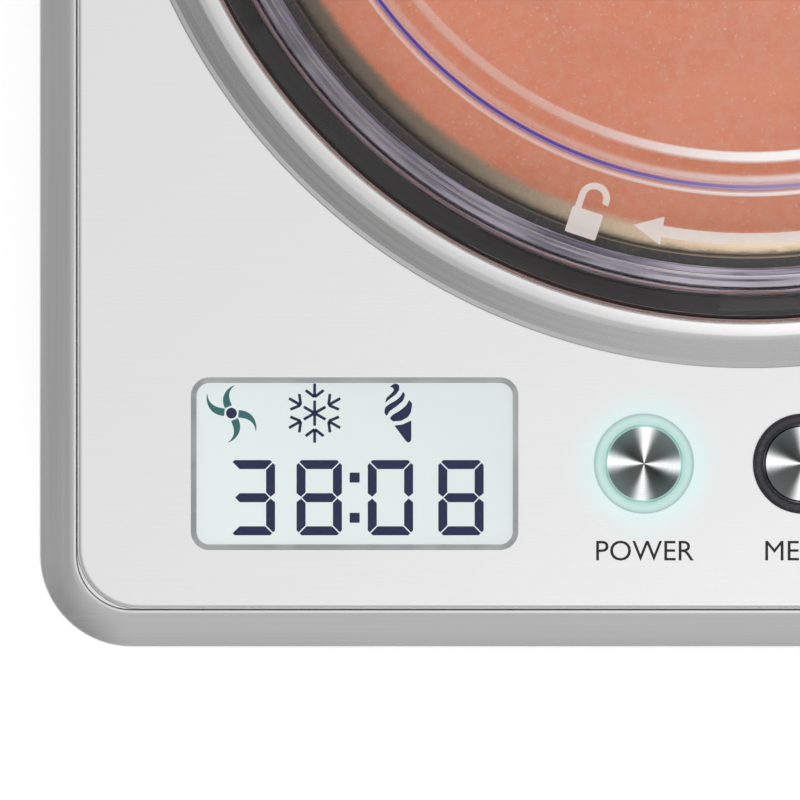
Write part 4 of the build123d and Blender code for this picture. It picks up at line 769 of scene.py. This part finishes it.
def arc_band(inner, outer, start, end, steps):
    """The outline of a band between two radii, from start to end in degrees."""
    angles = [math.radians(start + (end - start) * n / steps) for n in range(steps + 1)]
    return [at(outer, a) for a in angles] + [at(inner, a) for a in reversed(angles)]


class Maker:
    """What every operator of this add-on shares."""

    bl_options = {"REGISTER", "UNDO"}

    def execute(self, context):
        self.build(context.scene.maker_sizes, context.scene.maker_colours)
        return {"FINISHED"}


class MAKER_OT_stage(Maker, bpy.types.Operator):
    """Floor, soft studio light and the camera straight above the controls"""

    bl_idname = "maker.stage"
    bl_label = "Stage"

    def build(self, sizes, colours):
        floor = begin("studio_floor", "plane", size=14.0, location=(0, 0, 0))
        close(floor)
        look = Look("floor_white")
        cloud = look.grain(1.5, 2.0)
        floor.data.materials.append(look.finish(look.principled(
            Base_Color=look.mix(cloud, (0.86, 0.86, 0.86), (0.88, 0.88, 0.88)), Roughness=0.8,
            Emission_Color=(1, 1, 1, 1), Emission_Strength=0.62)))
        scene = bpy.context.scene
        self.sky(scene)
        self.lamp("key_light", (0.26, -0.46, 1.35), (0, 0, 0), 0.62, 0.75)
        camera = bpy.data.objects.new("camera", bpy.data.cameras.new("camera"))
        bpy.context.collection.objects.link(camera)
        camera.location = (DISPLAY_X + 8.8 * MM, DISPLAY_Y + 12.35 * MM, PLATE_TOP + sizes.camera_height)
        camera.data.sensor_width = 36.0
        camera.data.lens = 36.0 * sizes.camera_height / sizes.view_width
        camera.data.clip_end = 60.0
        scene.camera = camera
        scene.view_settings.view_transform = "Standard"

    def sky(self, scene):
        """World light: bright overhead, darker low down and on the left."""
        world = bpy.data.worlds.new("studio")
        scene.world = world
        look = Look("studio", world)
        direction = look.add("ShaderNodeTexCoord", {}, {}, "Generated")
        x, y, z = look.split(direction)
        ceiling = look.ramp(
            z, (0.30, (0.42,)), (0.60, (0.55,)), (0.88, (0.68,)), (0.97, (0.98,)), (1.0, (1.02,)))
        azimuth = x.maths("ARCTAN2", y, x)
        front = look.facing(azimuth, -84.0, 3.0)
        dusk = look.facing(azimuth, -132.0, 9.0)
        low = 0.34 + front * 0.32 - dusk * look.band(z, 0.22, 0.36, True) * 0.60
        low = low + dusk * look.band(z, 0.32, 0.40) * 0.50
        low = low.maths("MAXIMUM", low, 0.03)
        side = look.facing(azimuth, -45.0, 0.5)
        horizon = look.band(abs(z), 0.05, 0.20, True)
        low = low * (1.0 - horizon) + (0.42 - side * 0.36) * horizon
        level = look.mix(look.band(z, 0.30, 0.62), look.vector(low, low, low), ceiling)
        camera_ray = look.add("ShaderNodeLightPath", {}, {}, "Is Camera Ray")
        level = look.mix(camera_ray, level, (0.93, 0.93, 0.93))
        sky = look.add("ShaderNodeBackground", {}, {"Color": level, "Strength": 1.0})
        look.finish(sky, "ShaderNodeOutputWorld")

    def lamp(self, name, place, turn, size, watts):
        deselect()
        bpy.ops.object.light_add(type="AREA", location=place, rotation=[math.radians(t) for t in turn])
        lamp = bpy.context.object
        lamp.name = name
        lamp.data.size = size
        lamp.data.energy = watts


class MAKER_OT_finishes(Maker, bpy.types.Operator):
    """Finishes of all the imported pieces, by their material slots"""

    bl_idname = "maker.finishes"
    bl_label = "Finishes"

    def build(self, sizes, colours):
        looks = finishes(colours)
        caps = {node: button_finish(colours, node) for node in BUTTONS}
        for name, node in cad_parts.items():
            for slot in node.material_slots:
                key = slot.material.name.split(".")[0]
                if name in caps:
                    slot.material = caps[name]
                elif key in looks:
                    slot.material = looks[key]
                elif not key.endswith("_"):
                    raise RuntimeError("no finish for " + key)


class MAKER_OT_bezel(Maker, bpy.types.Operator):
    """Rolled steel frame round the top plate"""

    bl_idname = "maker.bezel"
    bl_label = "Bezel"

    def build(self, sizes, colours):
        low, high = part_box("top_frame")
        width, depth = high[0] - low[0], high[1] - low[1]
        lip_bottom = top("housing_wrap")
        ledge = high[2] - sizes.bezel_drop
        slope = sizes.bezel_width - 1.2 * MM
        piece = begin("top_bezel", "plane", size=1.0, location=(0, 0, lip_bottom))
        bpy.ops.transform.resize(value=(width, depth, 1))
        bpy.ops.mesh.bevel(offset=sizes.body_corner, segments=18, affect="VERTICES")
        everything()
        raised_by(ledge - lip_bottom)
        bpy.ops.mesh.inset(thickness=slope, depth=sizes.bezel_drop)
        bpy.ops.mesh.inset(thickness=1.05 * MM, depth=0.35 * MM)
        bpy.ops.mesh.inset(thickness=0.15 * MM, depth=-1.3 * MM)
        bpy.ops.mesh.inset(thickness=4.0 * MM)
        bpy.ops.mesh.delete(type="FACE")
        pick(piece, "polygons", lambda mid, face: len(face.vertices) > 8)
        bpy.ops.mesh.inset(thickness=2.4 * MM)
        raised_by(low[2] - lip_bottom)
        bpy.ops.mesh.delete(type="FACE")
        bends = (ledge, high[2], high[2] + 0.35 * MM)
        pick(piece, "edges", lambda mid, edge: min(abs(mid.z - z) for z in bends) < 0.02 * MM
             and self.level(piece, edge))
        bpy.ops.mesh.bevel(offset=0.45 * MM, segments=3)
        close(piece, 50)
        modified(piece, "SOLIDIFY", thickness=1.0 * MM, offset=-1.0, use_even_offset=True)
        bpy.ops.object.shade_smooth_by_angle(angle=math.radians(50))
        wear(piece, bpy.data.materials["frame_steel_brushed"], "housing", ["top_frame"])

    def level(self, piece, edge):
        first, second = (piece.data.vertices[i].co.z for i in edge.vertices)
        return abs(first - second) < 0.01 * MM


class MAKER_OT_collar(Maker, bpy.types.Operator):
    """Spun steel collar round the lid"""

    bl_idname = "maker.collar"
    bl_label = "Collar"

    def build(self, sizes, colours):
        r, z = COLLAR_RADIUS, PLATE_TOP
        crest = top("collar_ring")
        bore = r - 9.4 * MM
        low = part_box("collar_ring")[0][2]
        outline = [
            (r, z + 0.05 * MM), (r, z + 0.6 * MM), (r - 1.0 * MM, z + 1.1 * MM),
            (r - 5.2 * MM, crest - 0.9 * MM), (r - 6.2 * MM, crest - 0.5 * MM),
            (bore + 0.9 * MM, crest), (bore, crest - 0.8 * MM), (bore, low),
            (bore + 1.0 * MM, low), (bore + 1.0 * MM, crest - 1.6 * MM), (r - 6.4 * MM, crest - 1.7 * MM),
            (r - 5.6 * MM, crest - 2.1 * MM), (r - 3.0 * MM, z + 0.05 * MM),
        ]
        piece = turned("collar_trim", outline, 0.22 * MM, 3, sizes.around * 2, 60)
        wear(piece, bpy.data.materials["collar_steel_spun"], "housing", ["collar_ring"])


class MAKER_OT_lid(Maker, bpy.types.Operator):
    """Clear stepped lid with four lugs"""

    bl_idname = "maker.lid"
    bl_label = "Lid"

    def build(self, sizes, colours):
        low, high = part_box("lid")
        bottom = low[2]
        skirt = LID_RADIUS - 5.0 * MM
        flange = bottom + 9.1 * MM
        flange_top = flange + 2.4 * MM
        lid_top = flange_top + 4.6 * MM
        raised = lid_top + 4.0 * MM
        step, slope, wall, neck = 91.3 * MM, 6.7 * MM, 2.5 * MM, 29.0 * MM
        lug_low, lug_high = bottom + 1.3 * MM, bottom + 3.9 * MM
        outline = [
            (LID_RADIUS, flange), (LID_RADIUS, flange_top), (skirt + 0.6 * MM, flange_top),
            (skirt, flange_top + 0.6 * MM), (skirt, lid_top - 1.6 * MM),
            (skirt - 0.5 * MM, lid_top - 0.5 * MM), (skirt - 1.6 * MM, lid_top),
            (step, lid_top), (step - slope, raised), (neck + 2.0 * MM, raised),
            (neck + 2.0 * MM, high[2]), (neck, high[2]), (neck, raised - wall),
            (step - slope - 1.0 * MM, raised - wall), (step - 1.0 * MM, lid_top - wall),
            (skirt - 2.9 * MM, lid_top - wall), (skirt - 2.9 * MM, bottom),
            (skirt, bottom), (skirt, lug_low), (skirt, lug_high), (skirt, flange),
        ]
        piece = turned("clear_lid", outline, 0.18 * MM, 2, sizes.around, finish=False)
        centre = math.radians(-3.0 + 12.0)

        def on_lug(mid, face):
            turn = math.atan2(mid.y - BOWL_Y, mid.x - BOWL_X) - centre
            off = (turn + math.pi / 4) % (math.pi / 2) - math.pi / 4
            outside = abs(math.hypot(mid.x - BOWL_X, mid.y - BOWL_Y) - skirt) < 0.3 * MM
            level = lug_low + 0.1 * MM < mid.z < lug_high - 0.1 * MM
            return outside and level and abs(off) < math.radians(12)

        pick(piece, "polygons", on_lug)
        bpy.ops.mesh.extrude_region_shrink_fatten(TRANSFORM_OT_shrink_fatten={"value": 3.3 * MM})
        close(piece, 30)
        wear(piece, lid_finish(colours), "lid", ["lid"])


class MAKER_OT_mix(Maker, bpy.types.Operator):
    """Frozen fruit mix that fills the bowl round the paddle's hub"""

    bl_idname = "maker.mix"
    bl_label = "Frozen mix"

    def build(self, sizes, colours):
        rim = RIM_TOP
        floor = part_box("bowl")[0][2] + 3.2 * MM
        wall = 103.1 * MM
        levels = [(18, -13.5), (30, -13.0), (42, -12.6), (54, -12.4), (66, -12.6), (78, -13.0), (88, -13.6),
                  (95, -14.2), (99, -15.0), (101.5, -16.0), (102.6, -17.2)]
        surface = [(r * MM, rim + z * MM) for r, z in levels]
        outline = [(15.6 * MM, floor), (15.6 * MM, rim - 15.0 * MM)] + surface
        outline += [(wall, rim - 23 * MM), (wall, floor + 16 * MM), (wall - 5 * MM, floor + 5 * MM),
                    (wall - 16 * MM, floor)]
        piece = turned("frozen_mix", outline, 0.0, 1, sizes.around, 80, finish=False)
        pick(piece, "polygons", lambda mid, face: mid.z > rim - 20 * MM and face.normal.z > 0.3)
        bpy.ops.mesh.subdivide(number_cuts=2)
        switch("OBJECT")
        group = piece.vertex_groups.new(name="surface")
        for vertex in piece.data.vertices:
            place = vertex.co + piece.location
            reach = math.hypot(place.x - BOWL_X, place.y - BOWL_Y)
            if place.z > rim - 18 * MM and reach < 100.5 * MM:
                group.add([vertex.index], min(1.0, (100.5 * MM - reach) / (6 * MM)), "REPLACE")
        switch("EDIT")
        close(piece, 80)
        lumps = bpy.data.textures.new("lumps", "CLOUDS")
        lumps.noise_scale = 14 * MM
        lumps.noise_depth = 3
        modified(piece, "DISPLACE", texture=lumps, texture_coords="LOCAL", direction="Z", mid_level=0.5,
                 strength=3.2 * MM, vertex_group="surface")
        piece.vertex_groups.clear()
        wear(piece, mix_finish(colours), "bowl")


class MAKER_OT_lid_marks(Maker, bpy.types.Operator):
    """Printed padlocks and a double arrow that show how the lid turns"""

    bl_idname = "maker.lid_marks"
    bl_label = "Lid marks"

    THICKNESS = 0.06 * MM
    ARROW_RADIUS = 99.3
    BARB = 2.8  # from the middle of the arrow to the corners of its heads
    SHAFT_INNER, SHAFT_OUTER = 98.3, 100.5
    SHAFT_START, SHAFT_SWEEP, SHAFT_STEPS = -99.9, 19.8, 26
    HEAD_SWEEP = 3.3

    def build(self, sizes, colours):
        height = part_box("lid")[1][2] - 7.2 * MM + 0.03 * MM
        pieces = [flat(in_mm(self.arrow(), BOWL_X, BOWL_Y), height, self.THICKNESS)]
        for angle, shut in ((-18.5, False), (18.5, True)):
            pieces += self.padlock(angle, shut, height)
        piece = joined("lid_marks", pieces)
        # Painted light: the white ink glows faintly.
        wear(piece, marking_finish("lid_ink_white", (0.96, 0.90, 0.87), 0.12, 0.58), "lid")

    def arrow(self):
        """A curved arrow with a head at each end, in millimetres and degrees round the bowl's axis."""
        start, sweep, steps = self.SHAFT_START, self.SHAFT_SWEEP, self.SHAFT_STEPS
        end = start + sweep
        crest = self.ARROW_RADIUS
        inner, outer = crest - self.BARB, crest + self.BARB
        points = [self.polar(self.SHAFT_INNER, start + n * sweep / steps) for n in range(steps + 1)]
        points += [self.polar(inner, end), self.polar(crest, end + self.HEAD_SWEEP), self.polar(outer, end)]
        points += [self.polar(self.SHAFT_OUTER, end - n * sweep / steps) for n in range(steps + 1)]
        return points + [
            self.polar(outer, start), self.polar(crest, start - self.HEAD_SWEEP), self.polar(inner, start)]

    def polar(self, radius, degrees):
        return at(radius, math.radians(degrees))

    def padlock(self, angle, shut, height):
        """A padlock that stands with its bow towards the middle of the lid."""
        x, y = self.polar(101.6, -90 + angle)
        place = (BOWL_X + x * MM, BOWL_Y + y * MM, angle)
        rise = 4.4 if shut else 5.2
        bow = arc_band(1.75, 3.05, 0 if shut else -14, 180, 20)
        bow = [(a + (0.0 if shut else 0.35), b + rise) for a, b in bow]
        left = -3.05 if shut else -2.7
        shapes = [(stroke((0, -2.6), (0, 2.6), 6.2), 0.35), (bow, 0.0),
                  (stroke((left + 0.65, 2.6), (left + 0.65, rise), 1.3), 0.0)]
        if shut:
            shapes.append((stroke((2.4, 2.6), (2.4, rise), 1.3), 0.0))
        return [flat(in_mm(shape, *place), height, self.THICKNESS, corner * MM) for shape, corner in shapes]


class MAKER_OT_window(Maker, bpy.types.Operator):
    """Clear window over the display, a hair above its ink"""

    bl_idname = "maker.window"
    bl_label = "Display window"

    def build(self, sizes, colours):
        low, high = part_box("display_lens")
        flange = 1.5
        half_x, half_y = (high[0] - low[0]) / 2 / MM - flange, (high[1] - low[1]) / 2 / MM - flange
        outline = [(-half_x, -half_y), (half_x, -half_y), (half_x, half_y), (-half_x, half_y)]
        bottom = top("display_panel") + 0.15 * MM
        piece = flat(in_mm(outline, DISPLAY_X, DISPLAY_Y), bottom, high[2] - bottom, 2.4 * MM)
        piece = joined("display_window", [piece])
        bpy.ops.object.shade_smooth_by_angle(angle=math.radians(35))
        wear(piece, bpy.data.materials["lens_clear_window"], "housing", ["display_lens"])


class MAKER_OT_digits(Maker, bpy.types.Operator):
    """Seven-segment digits and colon of the timer"""

    bl_idname = "maker.digits"
    bl_label = "Display digits"

    SEGMENTS = {"3": "abcdg", "8": "abcdefg", "0": "abcdef"}
    PLACES = (("3", -19.84), ("8", -6.87), ("0", 6.94), ("8", 20.63))

    def build(self, sizes, colours):
        height = sizes.digit_height / MM
        level = top("display_panel") + 0.05 * MM
        base_y = DISPLAY_Y - 6.6 * MM
        pieces = []
        for figure, x in self.PLACES:
            for outline in self.outlines(self.SEGMENTS[figure], 8.8, height, 1.75):
                pieces.append(flat(in_mm(outline, DISPLAY_X + x * MM, base_y), level, 0.04 * MM))
        for y in (3.9, -3.9):
            dot = stroke((-0.97, y), (0.97, y), 1.94)
            pieces.append(flat(in_mm(dot, DISPLAY_X, base_y), level, 0.04 * MM, 0.12 * MM))
        piece = joined("timer_digits", pieces)
        ink = marking_finish("display_ink_navy", colours.ink, 0.0, 1.0, 0.6)
        wear(piece, ink, "housing")

    def outlines(self, names, width, height, thick):
        """Mitred segments. The letters go clockwise from the top, and g is the middle one."""
        x, y, cut, gap = width / 2, height / 2, thick * 0.45, 0.17
        bar = [(-x + cut + gap, y), (x - cut - gap, y), (x - cut / 2 - gap, y - cut / 2),
               (x - thick - gap, y - thick), (-x + thick + gap, y - thick), (-x + cut / 2 + gap, y - cut / 2)]
        post = [(-x, y - cut - gap), (-x + cut / 2, y - cut / 2 - gap), (-x + thick, y - thick - gap),
                (-x + thick, thick / 2 + gap), (-x + thick / 2, gap), (-x, thick * 0.4 + gap)]
        waist = [(-x + thick / 2 + gap, 0), (-x + thick + gap, thick / 2), (x - thick - gap, thick / 2),
                 (x - thick / 2 - gap, 0), (x - thick - gap, -thick / 2), (-x + thick + gap, -thick / 2)]
        turned_over = {
            "a": (bar, 1, 1), "d": (bar, 1, -1), "f": (post, 1, 1), "b": (post, -1, 1),
            "e": (post, 1, -1), "c": (post, -1, -1), "g": (waist, 1, 1),
        }
        for name in names:
            shape, sx, sy = turned_over[name]
            yield [(a * sx, b * sy) for a, b in shape]


class MAKER_OT_signs(Maker, bpy.types.Operator):
    """Fan, snowflake and ice cream cone above the digits"""

    bl_idname = "maker.signs"
    bl_label = "Display signs"

    CONE = (
        ((-1.7, 5.1), (-0.7, 5.8), (0.1, 5.5), (0.2, 4.6), (-0.4, 3.7), (-1.5, 2.9), (-2.6, 2.0), (-2.3, 3.0),
         (-1.5, 3.7), (-0.9, 4.4), (-1.0, 4.9)),
        ((0.9, 4.2), (1.3, 3.6), (0.9, 2.4), (-0.4, 1.3), (-1.7, 0.4), (-2.3, -0.6), (-2.75, 0.1),
         (-2.6, 1.1), (-1.7, 1.8), (-0.3, 2.6), (0.5, 3.4)),
        ((2.1, 2.6), (2.7, 1.8), (2.4, 0.1), (1.8, -0.8), (0.5, -1.5), (-1.1, -1.6), (-1.7, -1.0),
         (-1.1, -0.3), (0.3, 0.5), (1.5, 1.5)),
        ((-0.8, -2.4), (0.8, -2.2), (2.5, -1.4), (2.5, -5.2), (2.1, -5.75), (1.5, -5.5)),
    )

    def build(self, sizes, colours):
        self.level = top("display_panel") + 0.05 * MM
        self.row = DISPLAY_Y + 9.8 * MM
        navy = self.snowflake(DISPLAY_X - 7.76 * MM) + self.cone(DISPLAY_X + 8.5 * MM)
        hub_x = DISPLAY_X - 23.9 * MM
        circle = [at(1.05, a * math.pi / 12) for a in range(24)]
        navy.append(self.figure(circle, hub_x))
        blades = [self.figure(self.blade(turn, reach), hub_x)
                  for turn, reach in ((115, 5.4), (173, 6.0), (295, 5.7), (355, 5.9))]
        ink = bpy.data.materials["display_ink_navy"]
        wear(joined("display_signs", navy), ink, "housing")
        teal = marking_finish("display_ink_teal", colours.fan_ink, 0.3, 1.0, 0.6)
        wear(joined("fan_sign_blades", blades), teal, "housing")

    def figure(self, outline, x, corner=0.0, turn=0.0):
        return flat(in_mm(outline, x, self.row, turn), self.level, 0.04 * MM, corner * MM)

    def blade(self, turn, reach):
        """A curved blade that starts at the given angle and trails behind it."""
        sides = ([], [])
        for n in range(13):
            t = n / 12
            radius = 1.55 + (reach - 1.55) * t
            angle = math.radians(turn - 31 * t * t)
            half = 0.66 * (1 - t ** 2.2) + 0.09
            for side, outline in zip((1, -1), sides):
                spread = angle + side * half / radius
                outline.append(at(radius, spread))
        return sides[0] + sides[1][::-1]

    def snowflake(self, x):
        pieces = []
        for n in range(6):
            turn = 60 * n
            for start, end in (((0, 0.25), (0, 2.45)), ((0, 3.05), (0, 5.75)), ((0.05, 3.15), (1.75, 4.45)),
                               ((-0.05, 3.15), (-1.75, 4.45))):
                pieces.append(self.figure(stroke(start, end, 0.56), x, 0.12, turn))
        hub = [at(0.42, a * math.pi / 3) for a in range(6)]
        return pieces + [self.figure(hub, x)]

    def cone(self, x):
        return [self.figure(outline, x, 0.22) for outline in self.CONE]


class MAKER_OT_legends(Maker, bpy.types.Operator):
    """Generic legends under the buttons"""

    bl_idname = "maker.legends"
    bl_label = "Legends"

    WORDS = ("POWER", "MENU", "START", "+", "-")

    def build(self, sizes, colours):
        pieces = []
        for word, node in zip(self.WORDS, BUTTONS):
            deselect()
            x, y, _ = middle(node)
            bpy.ops.object.text_add(location=(x, y - 18.75 * MM, PLATE_TOP + 0.015 * MM))
            text = bpy.context.object
            text.data.body = word
            text.data.align_x = "CENTER"
            text.data.size = sizes.legend_height
            text.data.extrude = 0.015 * MM
            text.data.resolution_u = 4
            bpy.ops.object.convert(target="MESH")
            bpy.ops.object.transform_apply(location=True, rotation=True, scale=True)
            pieces.append(bpy.context.object)
        piece = joined("button_legends", pieces)
        wear(piece, marking_finish("legend_ink_black", (0.006, 0.006, 0.007)), "housing")


OPERATORS = (
    MAKER_OT_finishes, MAKER_OT_stage, MAKER_OT_bezel, MAKER_OT_collar, MAKER_OT_mix, MAKER_OT_lid,
    MAKER_OT_lid_marks, MAKER_OT_window, MAKER_OT_digits, MAKER_OT_signs, MAKER_OT_legends,
)


class MAKER_PT_panel(bpy.types.Panel):
    """Lists the pieces in the order in which they are made"""

    bl_idname = "MAKER_PT_panel"
    bl_label = "Ice cream maker"
    bl_space_type = "VIEW_3D"
    bl_region_type = "UI"
    bl_category = "Ice cream maker"

    def draw(self, context):
        layout = self.layout
        for group in (context.scene.maker_sizes, context.scene.maker_colours):
            for name in group.bl_rna.properties.keys():
                if name not in ("rna_type", "name"):
                    layout.prop(group, name)
        for operator in OPERATORS:
            layout.operator(operator.bl_idname)


CLASSES = (MakerColours, MakerSizes, *OPERATORS, MAKER_PT_panel)


def register():
    for cls in CLASSES:
        bpy.utils.register_class(cls)
    bpy.types.Scene.maker_colours = bpy.props.PointerProperty(type=MakerColours)
    bpy.types.Scene.maker_sizes = bpy.props.PointerProperty(type=MakerSizes)


def unregister():
    del bpy.types.Scene.maker_sizes
    del bpy.types.Scene.maker_colours
    for cls in reversed(CLASSES):
        bpy.utils.unregister_class(cls)


def main():
    register()
    for operator in OPERATORS:
        group, name = operator.bl_idname.split(".")
        getattr(getattr(bpy.ops, group), name)()


if __name__ == "__main__":
    main()
